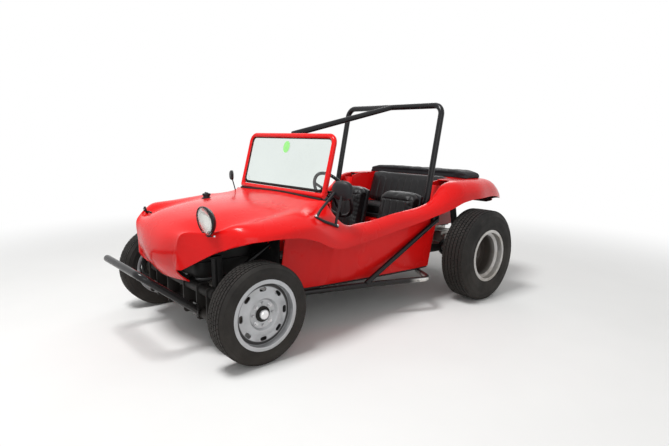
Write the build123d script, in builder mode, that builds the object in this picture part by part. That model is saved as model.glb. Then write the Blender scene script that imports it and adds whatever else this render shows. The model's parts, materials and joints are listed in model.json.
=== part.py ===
from build123d import *
from math import cos, radians, sin, sqrt
import os

os.makedirs("parts", exist_ok=True)

# Frame: the nose faces -Y, the driver's side is +X, +Z is up, millimetres.
# The origin lies on the ground under the middle of the overall length.

# Chassis layout
wheelbase = 2032.0
front_overhang = 547.0
rear_overhang = 657.0
overall_length = front_overhang + wheelbase + rear_overhang
front_axle_y = front_overhang - overall_length / 2
rear_axle_y = front_axle_y + wheelbase

# Wheels and tyres
front_tyre_radius = 298.0
front_tyre_width = 158.0
front_wheel_x = 702.0
rear_tyre_radius = 362.0
rear_tyre_width = 228.0
rear_wheel_x = 800.0
rim_lip_radius = 208.0
bead_seat_radius = 190.0
rim_drop_radius = 168.0
rim_wall = 5.0
lip_width = 8.0
front_rim_width = 146.0
rear_rim_width = 212.0
seat_gap = 0.3
running_gap = 0.05
lug_circle_radius = 65.0
lug_count = 4
lug_radius = 9.0
lug_height = 12.0

# Hubs, brakes and shafts
drum_radius = 118.0
drum_depth = 52.0
spindle_radius = 16.0
hub_radius = 42.0
cap_radius = 24.0
shaft_radius = 15.0
backing_radius = 121.0
backing_wall = 4.0
moving_gap = 5.0

axle_z = front_tyre_radius
rear_axle_z = rear_tyre_radius

# Front suspension
kingpin_x = 590.0
kingpin_radius = 11.0
beam_tube_radius = 34.0
beam_y = front_axle_y - 150.0
beam_rise = 75.0
arm_x = 486.0
arm_width = 22.0
arm_radius = 30.0
damper_radius = 22.0
track_rod_radius = 9.0

# Tubes of the frame
screen_tube_radius = 18.0
roll_tube_radius = 24.0
bumper_tube_radius = 22.0
rail_tube_radius = 20.0
brace_tube_radius = 18.0

# Glass-fibre shell
skin = 8.0
panel_gap = 0.4
shut_gap = 1.6
side_flange = 34.0
lamp_depth = 16.0
floor_top_z = 285.0
floor_wall = 12.0
tunnel_half_width = 70.0
tunnel_height = 115.0


def front_y(offset):
    return front_axle_y + offset


def rear_y(offset):
    return rear_axle_y + offset


# Places between the cowl and the quarter panel, as a share of the way back
cowl_y = front_y(612)
quarter_y = rear_y(-412)


def middle_y(share):
    return cowl_y + (quarter_y - cowl_y) * share


def cross_plane(y):
    return Plane(origin=(0, y, 0), x_dir=(1, 0, 0), z_dir=(0, -1, 0))


def side_plane(x):
    return Plane(origin=(x, 0, 0), x_dir=(0, 1, 0), z_dir=(1, 0, 0))


def save(part, name):
    part.label = name
    export_step(part, "parts/" + name + ".step")


def save_pair(part, name):
    save(part, name + "_left")
    save(mirror(part, about=Plane.YZ), name + "_right")


# Round bar or tube along straight runs with a bend of one radius at each corner
def pipe(points, tube_radius, bend_radius):
    start = Vector(*points[0])
    heading = (Vector(*points[1]) - start).normalized()
    with BuildPart() as made:
        with BuildLine():
            if len(points) > 2:
                FilletPolyline(*points, radius=bend_radius)
            else:
                Line(*points)
        with BuildSketch(Plane(origin=start, z_dir=heading)):
            Circle(tube_radius)
        sweep()
    return made.part


# The piece of a fitting that hangs clear below the panel it reaches up to
def hung(fitting, panels):
    with BuildPart() as made:
        add(fitting)
        for panel in panels:
            add(panel, mode=Mode.SUBTRACT)
            add(panel.moved(Location((0, 0, -seat_gap))), mode=Mode.SUBTRACT)
    return made.part.solids().sort_by(Axis.Z)[0]


# Section of a side panel: flange at the seam, an arc over the crown, then the lip's side face
def lip_section(y, row):
    ax, az, bx, bz, cx, cz, dx, dz = row
    with BuildSketch(cross_plane(y)) as made:
        with BuildLine():
            ThreePointArc((ax, az), (bx, bz), (cx, cz))
            Line((cx, cz), (dx, dz))
            Line((dx, dz), (dx - skin, dz))
            Line((dx - skin, dz), (cx - skin, cz - skin))
            ThreePointArc((cx - skin, cz - skin), (bx, bz - skin), (ax + skin, az - 2.5 * skin))
            Line((ax + skin, az - 2.5 * skin), (ax + skin, az - side_flange))
            Line((ax + skin, az - side_flange), (ax, az - side_flange))
            Line((ax, az - side_flange), (ax, az))
        make_face()
    return made.sketch


# Cross-section of the whole shell: both lips and crowns, and the panel between the seams
def shell_section(y, row, span):
    ax, az, bx, bz, cx, cz, dx, dz = row
    middle_z, shoulder_x, shoulder_z = span
    with BuildSketch(cross_plane(y)) as made:
        with BuildLine():
            for side in (-1, 1):
                Line((side * dx, dz), (side * cx, cz))
                ThreePointArc((side * cx, cz), (side * bx, bz), (side * ax, az))
                Line((side * ax, az), (side * shoulder_x, shoulder_z))
                Line((side * dx, dz), (side * (dx - skin), dz))
                Line((side * (dx - skin), dz), (side * (cx - skin), cz - skin))
                ThreePointArc((side * (cx - skin), cz - skin), (side * bx, bz - skin),
                              (side * ax, az - skin))
                Line((side * ax, az - skin), (side * shoulder_x, shoulder_z - skin))
            ThreePointArc((-shoulder_x, shoulder_z), (0, middle_z), (shoulder_x, shoulder_z))
            ThreePointArc((-shoulder_x, shoulder_z - skin), (0, middle_z - skin),
                          (shoulder_x, shoulder_z - skin))
        make_face()
    return made.sketch


# Upright prism whose plan follows the two seams, to part the middle panel from the wings
def seam_prism(seam, inward, low_z, high_z):
    with BuildPart() as made:
        with BuildSketch(Plane.XY.offset(low_z)):
            with BuildLine():
                Polyline(*[(x - inward, y) for x, y in seam], *[(-x + inward, y) for x, y in reversed(seam)],
                         close=True)
            make_face()
        extrude(amount=high_z - low_z)
    return made.part


# The piece of a fitting that stands clear above the panel it is seated on
def seated(fitting, panels):
    with BuildPart() as made:
        add(fitting)
        for panel in panels:
            add(panel.moved(Location((0, 0, seat_gap))), mode=Mode.SUBTRACT)
    return made.part.solids().sort_by(Axis.Z)[-1]


# Side band of the shell, driver's side; each row's first number is its place along the car:
# mm behind the front axle, share of the way from cowl to quarter, or mm behind the rear axle
# place, seam x, seam z, crown x, crown z, crease x, crease z, lip x, lip z
front_wing_rows = [
    (-292, 300, 768, 316, 742, 326, 690, 327, 516),
    (-236, 398, 742, 412, 728, 428, 694, 430, 578),
    (-172, 504, 728, 522, 722, 548, 700, 552, 650),
    (-70, 506, 756, 600, 758, 686, 724, 688, 706),
    (70, 506, 792, 640, 784, 733, 738, 738, 715),
    (230, 506, 824, 650, 812, 746, 756, 750, 708),
    (390, 508, 842, 650, 812, 738, 748, 740, 668),
    (520, 526, 858, 640, 780, 720, 672, 722, 610),
    (612, 556, 876, 634, 760, 704, 634, 706, 584),
]
rear_wing_rows = [
    (-412, 584, 790, 638, 788, 682, 745, 690, 698),
    (-332, 584, 850, 648, 830, 698, 772, 704, 716),
    (-242, 584, 926, 660, 896, 718, 806, 726, 746),
    (-132, 584, 946, 676, 926, 736, 840, 744, 784),
    (48, 582, 945, 676, 930, 738, 856, 744, 799),
    (308, 562, 943, 634, 924, 688, 852, 692, 797),
    (448, 536, 926, 606, 904, 654, 838, 658, 786),
    (568, 500, 868, 562, 856, 614, 806, 618, 765),
    (641, 470, 824, 530, 816, 578, 776, 582, 742),
]
body_side_rows = [
    (0.0,) + front_wing_rows[-1][1:],
    (0.067, 588, 770, 642, 708, 694, 624, 696, 578),
    (0.147, 586, 712, 636, 688, 684, 622, 684, 580),
    (0.306, 585, 712, 628, 690, 668, 634, 668, 590),
    (0.623, 584, 746, 620, 724, 653, 672, 655, 627),
    (0.861, 584, 764, 628, 748, 664, 710, 668, 664),
    (1.0,) + rear_wing_rows[0][1:],
]

# Middle panels of the shell, at the same places: middle z, shoulder x, shoulder z
bonnet_rows = [(796, 230, 788), (806, 250, 797), (820, 262, 808), (836, 275, 822), (848, 286, 834),
               (858, 294, 844), (870, 298, 856), (882, 300, 872), (892, 300, 884)]
deck_rows = [(796, 500, 792), (856, 500, 852), (930, 500, 928), (950, 500, 948), (952, 500, 949),
             (952, 480, 948), (936, 450, 932), (880, 420, 876), (836, 400, 832)]
shell_top_z = 1000.0
shell_low_z = 400.0
deck_front_row = 2


def body_side_panel():
    with BuildPart() as made:
        loft([lip_section(middle_y(row[0]), row[1:]) for row in body_side_rows])
    return made.part


def shell(rows, spans, place):
    with BuildPart() as made:
        loft([shell_section(place(row[0]), row[1:], span) for row, span in zip(rows, spans)])
    return made.part


def wing_of(whole, prism):
    with BuildPart() as made:
        add(whole)
        add(prism, mode=Mode.SUBTRACT)
    return made.part.solids().sort_by(Axis.X)[-1]


front_shell = shell(front_wing_rows, bonnet_rows, front_y)
front_seam = [(row[1], front_y(row[0])) for row in front_wing_rows]
front_seam = [(front_seam[0][0], front_seam[0][1] - 1)] + front_seam + [(front_seam[-1][0], cowl_y + 1)]
front_wing = wing_of(front_shell, seam_prism(front_seam, 0, shell_low_z, shell_top_z))
save_pair(front_wing, "front_wing")
with BuildPart() as bonnet:
    add(front_shell)
    add(seam_prism(front_seam, shut_gap, shell_low_z, shell_top_z), mode=Mode.INTERSECT)
save(bonnet.part, "bonnet")

body_side = body_side_panel()
save_pair(body_side, "body_side")

rear_shell = shell(rear_wing_rows, deck_rows, rear_y)
rear_seam = [(row[1], rear_y(row[0])) for row in rear_wing_rows]
rear_seam = [(rear_seam[0][0], rear_seam[0][1] - 1)] + rear_seam + [(rear_seam[-1][0], rear_seam[-1][1] + 1)]
rear_wing = wing_of(rear_shell, seam_prism(rear_seam, 0, shell_low_z, shell_top_z))
save_pair(rear_wing, "rear_wing")

# Nose: upright profiles side by side across the car
# across x, top y and z, face y and z at the shoulder, lower corner y and z, chin y and z
nose_rows = [
    (-326, -294, 764, -312, 700, -302, 516, -272, 424),
    (-160, -294, 786, -340, 735, -332, 508, -292, 418),
    (0, -294, 796, -350, 740, -342, 504, -300, 416),
    (160, -294, 786, -340, 735, -332, 508, -292, 418),
    (326, -294, 764, -312, 700, -302, 516, -272, 424),
]


def nose_section(row):
    x, top_y, top_z, face_y, face_z, low_y, low_z, chin_y, chin_z = row
    top_y, face_y, low_y, chin_y = [front_y(v) for v in (top_y, face_y, low_y, chin_y)]
    mid_y = (top_y + face_y) / 2 - (top_z - face_z) / 5
    mid_z = (top_z + face_z) / 2 + (top_z - face_z) / 5
    with BuildSketch(side_plane(x)) as made:
        with BuildLine():
            ThreePointArc((top_y - panel_gap, top_z), (mid_y, mid_z), (face_y, face_z))
            Line((face_y, face_z), (low_y, low_z))
            Line((low_y, low_z), (chin_y, chin_z))
            Line((chin_y, chin_z), (chin_y + skin, chin_z))
            Line((chin_y + skin, chin_z), (low_y + skin, low_z + skin / 2))
            Line((low_y + skin, low_z + skin / 2), (face_y + skin, face_z))
            ThreePointArc((face_y + skin, face_z), (mid_y + skin / 2, mid_z - skin),
                          (top_y - panel_gap, top_z - skin))
            Line((top_y - panel_gap, top_z - skin), (top_y - panel_gap, top_z))
        make_face()
    return made.sketch


with BuildPart() as nose_panel:
    loft([nose_section(row) for row in nose_rows])
save(nose_panel.part, "nose_panel")

# Rear deck between the rear seams, open over the tub, and the apron that closes the tail
tub_half_width = 470.0
tub_floor_z = 560.0
tub_back_y = rear_axle_y + 108.0
tub_skin = 8.0
tub_rise = 440.0
apron_low_z = 700.0
apron_half_width = 572.0
apron_chamfer = 60.0
tail_y = rear_y(rear_overhang - lamp_depth)
lip_end_z = rear_wing_rows[-1][8]
end_x = rear_wing_rows[-1][1] - shut_gap
end_z = rear_wing_rows[-1][2]
end_shoulder_x, end_shoulder_z = deck_rows[-1][1:]
with BuildPart() as rear_deck:
    add(rear_shell)
    add(seam_prism(rear_seam[deck_front_row + 1:], shut_gap, shell_low_z, shell_top_z), mode=Mode.INTERSECT)
    with BuildSketch(Plane.XY.offset(shell_low_z)):
        with Locations((0, tub_back_y - tub_skin - tub_half_width)):
            Rectangle(2 * (tub_half_width - tub_skin), 2 * tub_half_width)
    extrude(amount=shell_top_z - shell_low_z, mode=Mode.SUBTRACT)
    with BuildSketch(cross_plane(tail_y)):
        with BuildLine():
            Polyline((-end_x, end_z), (-end_shoulder_x, end_shoulder_z), (end_shoulder_x, end_shoulder_z),
                     (end_x, end_z), (end_x, end_z - 2 * skin),
                     (apron_half_width - apron_chamfer, lip_end_z + 10),
                     (apron_half_width, lip_end_z - panel_gap),
                     (apron_half_width - apron_chamfer, apron_low_z),
                     (-apron_half_width + apron_chamfer, apron_low_z),
                     (-apron_half_width, lip_end_z - panel_gap),
                     (-apron_half_width + apron_chamfer, lip_end_z + 10), (-end_x, end_z - 2 * skin),
                     close=True)
        make_face()
    extrude(amount=skin)
save(rear_deck.part, "rear_deck")

# Outer walls of the tub: each stands from its foot on the floor to just outside the shell's seam
wall_front_y = front_y(330)
# foot x, how far the head stays below the seam
wall_ends = [(425, 28), (438, 21), (465, 31), (486, 51), (497, 43), (509, 31), (533, 33), (574, 30),
             (597, 42), (602, 25), (604, 29), (606, 31)]
wall_heads = ([(wall_front_y,) + front_wing_rows[6][1:3]]
              + [(front_y(row[0]),) + row[1:3] for row in front_wing_rows[6:8]]
              + [(middle_y(row[0]),) + row[1:3] for row in body_side_rows]
              + [(rear_y(row[0]),) + row[1:3] for row in rear_wing_rows[1:3]])
wall_rows = [(y, foot_x, seam_x + 2 * skin + 6, seam_z - drop)
             for (foot_x, drop), (y, seam_x, seam_z) in zip(wall_ends, wall_heads)]
wall_tail_low_y = rear_y(-399)
wall_tail_high_y = rear_y(-290)
wall_tail_high_z = 690.0
tail_slope = (wall_tail_high_y - wall_tail_low_y) / (wall_tail_high_z - floor_top_z)


def wall_section(row):
    y, foot_x, head_x, head_z = row
    foot_z = floor_top_z + panel_gap
    with BuildSketch(cross_plane(y)) as made:
        with BuildLine():
            Polyline((foot_x, foot_z), (head_x, head_z), (head_x - skin, head_z), (foot_x - skin, foot_z),
                     close=True)
        make_face()
    return made.sketch


with BuildPart() as tub_wall:
    loft([wall_section(row) for row in wall_rows], ruled=True)
    with BuildSketch(side_plane(0)):
        with BuildLine():
            Polyline((wall_tail_low_y, floor_top_z), (wall_tail_low_y + tail_slope * 700, floor_top_z + 700),
                     (rear_axle_y, floor_top_z + 700), (rear_axle_y, floor_top_z), close=True)
        make_face()
    extrude(amount=rear_wheel_x, both=True, mode=Mode.SUBTRACT)
save_pair(tub_wall.part, "tub_wall")

# Rear tub over the gearbox: leaning bulkhead, shelf, two sides and back, open to the front and the top
lean_up = sqrt(1 + tail_slope ** 2)
ear_top = 625.0 * lean_up
shelf_up = (tub_floor_z - floor_top_z) * lean_up
lean = Plane(origin=(0, wall_tail_low_y + panel_gap, floor_top_z + panel_gap), x_dir=(1, 0, 0),
             z_dir=(0, -1, tail_slope))
tub_mouth_y = wall_tail_low_y + tail_slope * (tub_floor_z - floor_top_z) + panel_gap
with BuildPart() as rear_tub:
    with BuildSketch(side_plane(-tub_half_width)):
        with BuildLine():
            Polyline((tub_mouth_y + 1, tub_floor_z),
                     (tub_mouth_y + 1 + tail_slope * tub_rise, tub_floor_z + tub_rise),
                     (tub_back_y, tub_floor_z + tub_rise), (tub_back_y, tub_floor_z), close=True)
        make_face()
    extrude(amount=2 * tub_half_width)
    with BuildSketch(side_plane(-tub_half_width + tub_skin)):
        with Locations((tub_back_y - tub_skin - tub_half_width, tub_floor_z + tub_skin + tub_half_width)):
            Rectangle(2 * tub_half_width, 2 * tub_half_width)
    extrude(amount=2 * (tub_half_width - tub_skin), mode=Mode.SUBTRACT)
    with BuildSketch(lean):
        with BuildLine():
            Polyline((-601, 0), (601, 0), (590, 420), (590, ear_top), (-590, ear_top), (-590, 420),
                     close=True)
        make_face()
        with Locations((0, shelf_up + 10 + ear_top)):
            Rectangle(2 * (tub_half_width - tub_skin), 2 * ear_top, mode=Mode.SUBTRACT)
    extrude(amount=-tub_skin)
save(hung(rear_tub.part, [rear_shell]), "rear_tub")

# Floor halves with the seat runners, each side of the backbone
pan_rows = [(row[0], row[1]) for row in wall_rows[:-3]]
frame_head_y = beam_y + beam_tube_radius + panel_gap
head_low_z = 225.0
rod_y = front_axle_y + 112.0
fork_low_z = 205.0
fork_end_y = rear_axle_y - 60.0
seat_x = 300.0
seat_half = 202.0
seat_front_y = middle_y(0.395)
runner_height = 40.0
tow_hole_spacing = 160.0
tow_hole_radius = 5.5
with BuildPart() as floor_half:
    with BuildSketch(Plane.XY.offset(floor_top_z - floor_wall)):
        with BuildLine():
            Polyline((tunnel_half_width + seat_gap, pan_rows[0][0]), *[(x, y) for y, x in pan_rows],
                     (pan_rows[-1][1], wall_tail_low_y), (tunnel_half_width + seat_gap, wall_tail_low_y),
                     close=True)
        make_face()
    extrude(amount=floor_wall)
    with BuildSketch(Plane.XY.offset(floor_top_z)):
        with Locations((seat_x, seat_front_y + 270)):
            with GridLocations(340, 1, 2, 1):
                Rectangle(30, 430)
    extrude(amount=runner_height)
save_pair(floor_half.part, "floor_pan")

# Backbone: tunnel, frame head, and the fork with its cross-piece under the gearbox
with BuildPart() as backbone:
    with BuildSketch(cross_plane(pan_rows[0][0])):
        with BuildLine():
            Polyline((-tunnel_half_width, floor_top_z - floor_wall),
                     (-tunnel_half_width + 10, floor_top_z + 80),
                     (-30, floor_top_z + tunnel_height), (30, floor_top_z + tunnel_height),
                     (tunnel_half_width - 10, floor_top_z + 80),
                     (tunnel_half_width, floor_top_z - floor_wall),
                     close=True)
        make_face()
    extrude(amount=-(wall_tail_low_y - pan_rows[0][0]))
    with BuildSketch(side_plane(-tunnel_half_width + 12)):
        with BuildLine():
            Polyline((frame_head_y, head_low_z), (frame_head_y, axle_z + 40), (rod_y - 30, axle_z + 40),
                     (rod_y - 30, axle_z - 36), (rod_y + 30, axle_z - 36), (rod_y + 30, axle_z + 40),
                     (pan_rows[0][0] + 20, floor_top_z + tunnel_height - 20),
                     (pan_rows[0][0] + 60, head_low_z),
                     close=True)
        make_face()
    extrude(amount=2 * (tunnel_half_width - 12))
    with BuildSketch(Plane.XY.offset(fork_low_z)):
        for side in (-1, 1):
            with BuildLine():
                Polyline((side * 20, wall_tail_low_y - 60), (side * 90, wall_tail_low_y - 60),
                         (side * 235, rear_y(-250)), (side * 235, fork_end_y), (side * 190, fork_end_y),
                         (side * 190, rear_y(-235)), (side * 30, wall_tail_low_y + 10), close=True)
            make_face()
    extrude(amount=floor_top_z - floor_wall - seat_gap - fork_low_z)
    with BuildSketch(Plane.XY.offset(fork_low_z)):
        with Locations((0, fork_end_y - 30)):
            Rectangle(440, 60)
            with GridLocations(tow_hole_spacing, 1, 2, 1):
                Circle(tow_hole_radius, mode=Mode.SUBTRACT)
    extrude(amount=16)
save(backbone.part, "backbone")

# Steering column line, from the wheel's centre down to the steering box
column_tilt = radians(28)
column_way = Vector(0, cos(column_tilt), sin(column_tilt))
wheel_centre = Vector(292, front_y(905), 872)
wheel_plane = Plane(origin=wheel_centre, x_dir=(1, 0, 0), z_dir=column_way)
column_radius = 20.0
column_drop = 560.0

# Sloping toe board and upright scuttle behind the front axle
toe_low_y = pan_rows[0][0] + 10
with BuildPart() as toe_board:
    with BuildSketch(side_plane(0)):
        with BuildLine():
            Polyline((toe_low_y + 60, floor_top_z + panel_gap), (toe_low_y, floor_top_z + 120),
                     (toe_low_y, 700), (toe_low_y + skin, 700), (toe_low_y + skin, floor_top_z + 122),
                     (toe_low_y + 60 + skin, floor_top_z + panel_gap), close=True)
        make_face()
    extrude(amount=414, both=True)
    with BuildSketch(cross_plane(toe_low_y - 20)):
        with Locations((0, floor_top_z)):
            Rectangle(2 * tunnel_half_width + 2, 2 * tunnel_height + 4)
    extrude(amount=-120, mode=Mode.SUBTRACT)
    with BuildSketch(wheel_plane.offset(-800)):
        Circle(column_radius + 0.5)
    extrude(amount=700, mode=Mode.SUBTRACT)
save(toe_board.part, "toe_board")

# Dashboard under the screen's foot, with two dials
dash_y = front_y(664)
dash_top_z = 862.0
dash_low_z = 722.0
dash_half_width = 536.0
dial_radius = 40.0
dash_tab_x = 470.0
cowl_reach = 60.0
with BuildPart() as dashboard:
    with BuildSketch(side_plane(0)):
        with BuildLine():
            Polyline((dash_y - 60, dash_top_z), (dash_y + 8, dash_top_z), (dash_y + 24, dash_low_z + 40),
                     (dash_y + 12, dash_low_z), (dash_y + 2, dash_low_z), (dash_y + 12, dash_low_z + 40),
                     (dash_y - 2, dash_top_z - skin), (dash_y - 60, dash_top_z - skin), close=True)
        make_face()
    extrude(amount=dash_half_width, both=True)
    with BuildSketch(Plane(origin=(0, dash_y + 6, 0), x_dir=(1, 0, 0), z_dir=(0, 1, 0))):
        with Locations((wheel_centre.X, -812), (wheel_centre.X - 110, -812)):
            Circle(dial_radius)
    extrude(amount=20)
    with BuildSketch(wheel_plane.offset(-400)):
        Circle(column_radius + 0.5)
    extrude(amount=300, mode=Mode.SUBTRACT)
    with BuildSketch(Plane.XY.offset(dash_top_z - skin)):
        with GridLocations(2 * dash_tab_x, 1, 2, 1):
            with Locations((0, dash_y - 56)):
                Rectangle(60, 8)
    extrude(amount=cowl_reach)
save(hung(dashboard.part, [front_shell]), "dashboard")

# Windscreen: raked loop of tube with a pane inside it
screen_low = Vector(0, front_y(637), 902)
screen_high = Vector(0, front_y(740), 1295)
screen_low_half = 510.0
screen_high_half = 505.0
screen_corner = 55.0
screen_foot_x = 430.0
screen_rise = (screen_high - screen_low).length
screen_up = (screen_high - screen_low).normalized()
screen_plane = Plane(origin=screen_low, x_dir=(1, 0, 0), z_dir=Vector(1, 0, 0).cross(screen_up))


def on_screen(x, up):
    point = screen_low + screen_up * up
    return (x, point.Y, point.Z)


screen_hoop = pipe([on_screen(screen_low_half, 0), on_screen(screen_high_half, screen_rise),
                    on_screen(-screen_high_half, screen_rise), on_screen(-screen_low_half, 0)],
                   screen_tube_radius, screen_corner)
with BuildPart() as windscreen_frame:
    add(screen_hoop)
    add(pipe([on_screen(-screen_low_half, 0), on_screen(screen_low_half, 0)], screen_tube_radius, 1))
    with BuildSketch(Plane.XY.offset(dash_top_z + seat_gap)):
        with GridLocations(2 * screen_foot_x, 1, 2, 1):
            with Locations((0, screen_low.Y)):
                RectangleRounded(70, 24, 6)
    extrude(amount=screen_low.Z - dash_top_z - seat_gap)
save(windscreen_frame.part, "windscreen_frame")
glass_wall = 6.0
edge = screen_tube_radius + seat_gap
with BuildPart() as windscreen_glass:
    with BuildSketch(screen_plane.offset(-glass_wall / 2)):
        with BuildLine():
            FilletPolyline((-screen_low_half + edge, edge), (screen_low_half - edge, edge),
                           (screen_high_half - edge, screen_rise - edge),
                           (-screen_high_half + edge, screen_rise - edge),
                           radius=screen_corner - edge, close=True)
        make_face()
    extrude(amount=glass_wall)
save(windscreen_glass.part, "windscreen_glass")

# Roll bar: hoop behind the seats and the stay that runs forward to the screen's top
hoop_half_width = 541.0
hoop_top_z = 1540.0
hoop_top_y = rear_y(-208)
hoop_slope = 0.2036
hoop_bend = 75.0
hoop_foot_z = floor_top_z + 6.0


def hoop_y(z):
    return hoop_top_y - (hoop_top_z - z) * hoop_slope


hoop = pipe([(hoop_half_width, hoop_y(hoop_foot_z), hoop_foot_z), (hoop_half_width, hoop_top_y, hoop_top_z),
             (-hoop_half_width, hoop_top_y, hoop_top_z),
             (-hoop_half_width, hoop_y(hoop_foot_z), hoop_foot_z)],
            roll_tube_radius, hoop_bend)
stay_start = Vector(0, hoop_top_y, hoop_top_z)
stay_end = Vector(0, front_y(744), 1302)
stay_way = (stay_end - stay_start).normalized()
stay = pipe([tuple(stay_start), tuple(stay_end - stay_way * (screen_tube_radius + seat_gap))],
            roll_tube_radius - 2, 1)
with BuildPart() as roll_bar:
    add(hoop)
    add(stay)
    with BuildSketch(Plane.XY.offset(floor_top_z + seat_gap)):
        for side in (-1, 1):
            with Locations((side * (hoop_half_width - 6), hoop_y(hoop_foot_z))):
                RectangleRounded(64, 78, 10)
    extrude(amount=8)
save(roll_bar.part, "roll_bar")

# Splayed side rails with the diagonal braces that rise from them
rail_z = floor_top_z - floor_wall - rail_tube_radius - seat_gap
rail_points = [(452, front_y(500), rail_z), (625, middle_y(0.444), rail_z), (778, middle_y(0.827), rail_z),
               (560, rear_y(-470), rail_z)]
brace_low = (602, middle_y(0.34), rail_z + rail_tube_radius - 6)
brace_high = (636, rear_y(-336), 655)
with BuildPart() as side_rail:
    add(pipe(rail_points, rail_tube_radius, 62.0))
    add(pipe([brace_low, brace_high], brace_tube_radius, 1))
    with BuildSketch(side_plane(606)):
        with Locations((brace_high[1] - 12, brace_high[2] + 2)):
            RectangleRounded(70, 60, 8)
    extrude(amount=28)
save_pair(side_rail.part, "side_rail")

# Front bumper hoop: one bent tube whose arms run back and down to the axle beam
bumper_half_width = 325.0 - bumper_tube_radius
bumper_y = front_y(-front_overhang) + bumper_tube_radius
bumper_z = 515.0
bumper_foot = (bumper_half_width, beam_y - 32, 239.5)
plate_front_y = beam_y - beam_tube_radius - 8
with BuildPart() as front_bumper:
    add(pipe([bumper_foot, (bumper_half_width, bumper_y, bumper_z), (-bumper_half_width, bumper_y, bumper_z),
              (-bumper_half_width, bumper_foot[1], bumper_foot[2])], bumper_tube_radius, 66.0))
    with BuildSketch(cross_plane(plate_front_y - 8)):
        with GridLocations(2 * bumper_half_width, 1, 2, 1):
            with Locations((0, 252)):
                RectangleRounded(64, 84, 8)
    extrude(amount=-8)
    with BuildSketch(cross_plane(plate_front_y - seat_gap)):
        with Locations((0, axle_z)):
            Rectangle(4 * bumper_half_width, 4 * bumper_half_width)
    extrude(amount=-100, mode=Mode.SUBTRACT)
save(front_bumper.part, "front_bumper")

# Front axle beam: two cross tubes, end plates, trailing arms, pin carriers and dampers
beam_half_width = arm_x - arm_width / 2 - 4
carrier_height = 26.0
with BuildPart() as front_beam:
    with BuildSketch(side_plane(-beam_half_width)):
        for rise in (-beam_rise, beam_rise):
            with Locations((beam_y, axle_z + rise)):
                Circle(beam_tube_radius)
    extrude(amount=2 * beam_half_width)
    for side in (-1, 1):
        for x, wide in ((325 - bumper_tube_radius, 12), (430, 12), (120, 12)):
            with BuildSketch(side_plane(side * x - wide / 2)):
                with Locations((beam_y, axle_z)):
                    RectangleRounded(2 * beam_tube_radius + 16, 2 * (beam_rise + beam_tube_radius) + 12, 20)
            extrude(amount=wide)
        for rise in (-beam_rise, beam_rise):
            with BuildSketch(side_plane(side * arm_x - arm_width / 2)):
                with BuildLine():
                    Polyline((beam_y, axle_z + rise - 30), (beam_y, axle_z + rise + 30),
                             (front_axle_y, axle_z + rise + 22), (front_axle_y, axle_z + rise - 22),
                             close=True)
                make_face()
                with Locations((beam_y, axle_z + rise)):
                    Circle(arm_radius)
                with Locations((front_axle_y, axle_z + rise)):
                    Circle(22)
            extrude(amount=arm_width)
            with BuildSketch(side_plane(side * arm_x)):
                with Locations((beam_y, axle_z + rise)):
                    Circle(arm_radius - 8)
            extrude(amount=-side * (arm_width / 2 + 12))
            with BuildSketch(Plane.XY.offset(axle_z + rise - carrier_height / 2)):
                with Locations((side * (kingpin_x + arm_x) / 2, front_axle_y)):
                    Rectangle(kingpin_x - arm_x, 30)
                with Locations((side * kingpin_x, front_axle_y)):
                    Circle(22)
            extrude(amount=carrier_height)
        with BuildSketch(side_plane(side * (arm_x + 30) - 9)):
            with Locations((front_axle_y, axle_z)):
                Rectangle(34, 2 * beam_rise)
        extrude(amount=18)
        with BuildSketch(Plane.XY.offset(axle_z - 2 * beam_rise)):
            with Locations((side * kingpin_x, front_axle_y)):
                Circle(kingpin_radius + running_gap)
        extrude(amount=4 * beam_rise, mode=Mode.SUBTRACT)
    for side in (-1, 1):
        foot = (side * (arm_x - 40), beam_y + beam_tube_radius + damper_radius - 4, axle_z - beam_rise)
        head = (side * (arm_x - 52), foot[1] - 12, axle_z + 300)
        add(pipe([foot, head], damper_radius, 1))
        with BuildSketch(cross_plane(beam_y + 8)):
            with Locations((head[0], axle_z + beam_rise + 110)):
                Rectangle(44, 230)
        extrude(amount=-9)
        with BuildSketch(Plane.XY.offset(head[2] - 12)):
            with Locations((head[0], head[1] - 14)):
                Rectangle(44, 74)
        extrude(amount=12)
save(front_beam.part, "front_beam")

# Steering knuckle: kingpin, boss, spindle, backing plate and steering arm
backing_x = front_wheel_x - 72.0
spindle_end_x = front_wheel_x + 46.0
knuckle_half_height = beam_rise - carrier_height / 2 - moving_gap
with BuildPart() as knuckle:
    with BuildSketch(Plane.XY.offset(axle_z - knuckle_half_height)):
        with Locations((kingpin_x, front_axle_y)):
            Circle(21)
    extrude(amount=2 * knuckle_half_height)
    with BuildSketch(Plane.XY.offset(axle_z - beam_rise - carrier_height / 2 - 6)):
        with Locations((kingpin_x, front_axle_y)):
            Circle(kingpin_radius)
    extrude(amount=2 * beam_rise + carrier_height + 12)
    with BuildSketch(side_plane(kingpin_x)):
        with Locations((front_axle_y, axle_z)):
            Circle(spindle_radius)
    extrude(amount=spindle_end_x - kingpin_x)
    with BuildSketch(side_plane(backing_x)):
        with Locations((front_axle_y, axle_z)):
            Circle(backing_radius)
    extrude(amount=backing_wall)
    with BuildSketch(Plane.XY.offset(axle_z - 46)):
        with BuildLine():
            Polyline((kingpin_x - 16, front_axle_y), (kingpin_x + 16, front_axle_y),
                     (kingpin_x - 34, front_axle_y + 118), (kingpin_x - 58, front_axle_y + 118), close=True)
        make_face()
    extrude(amount=14)
save_pair(knuckle.part, "knuckle")

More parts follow.
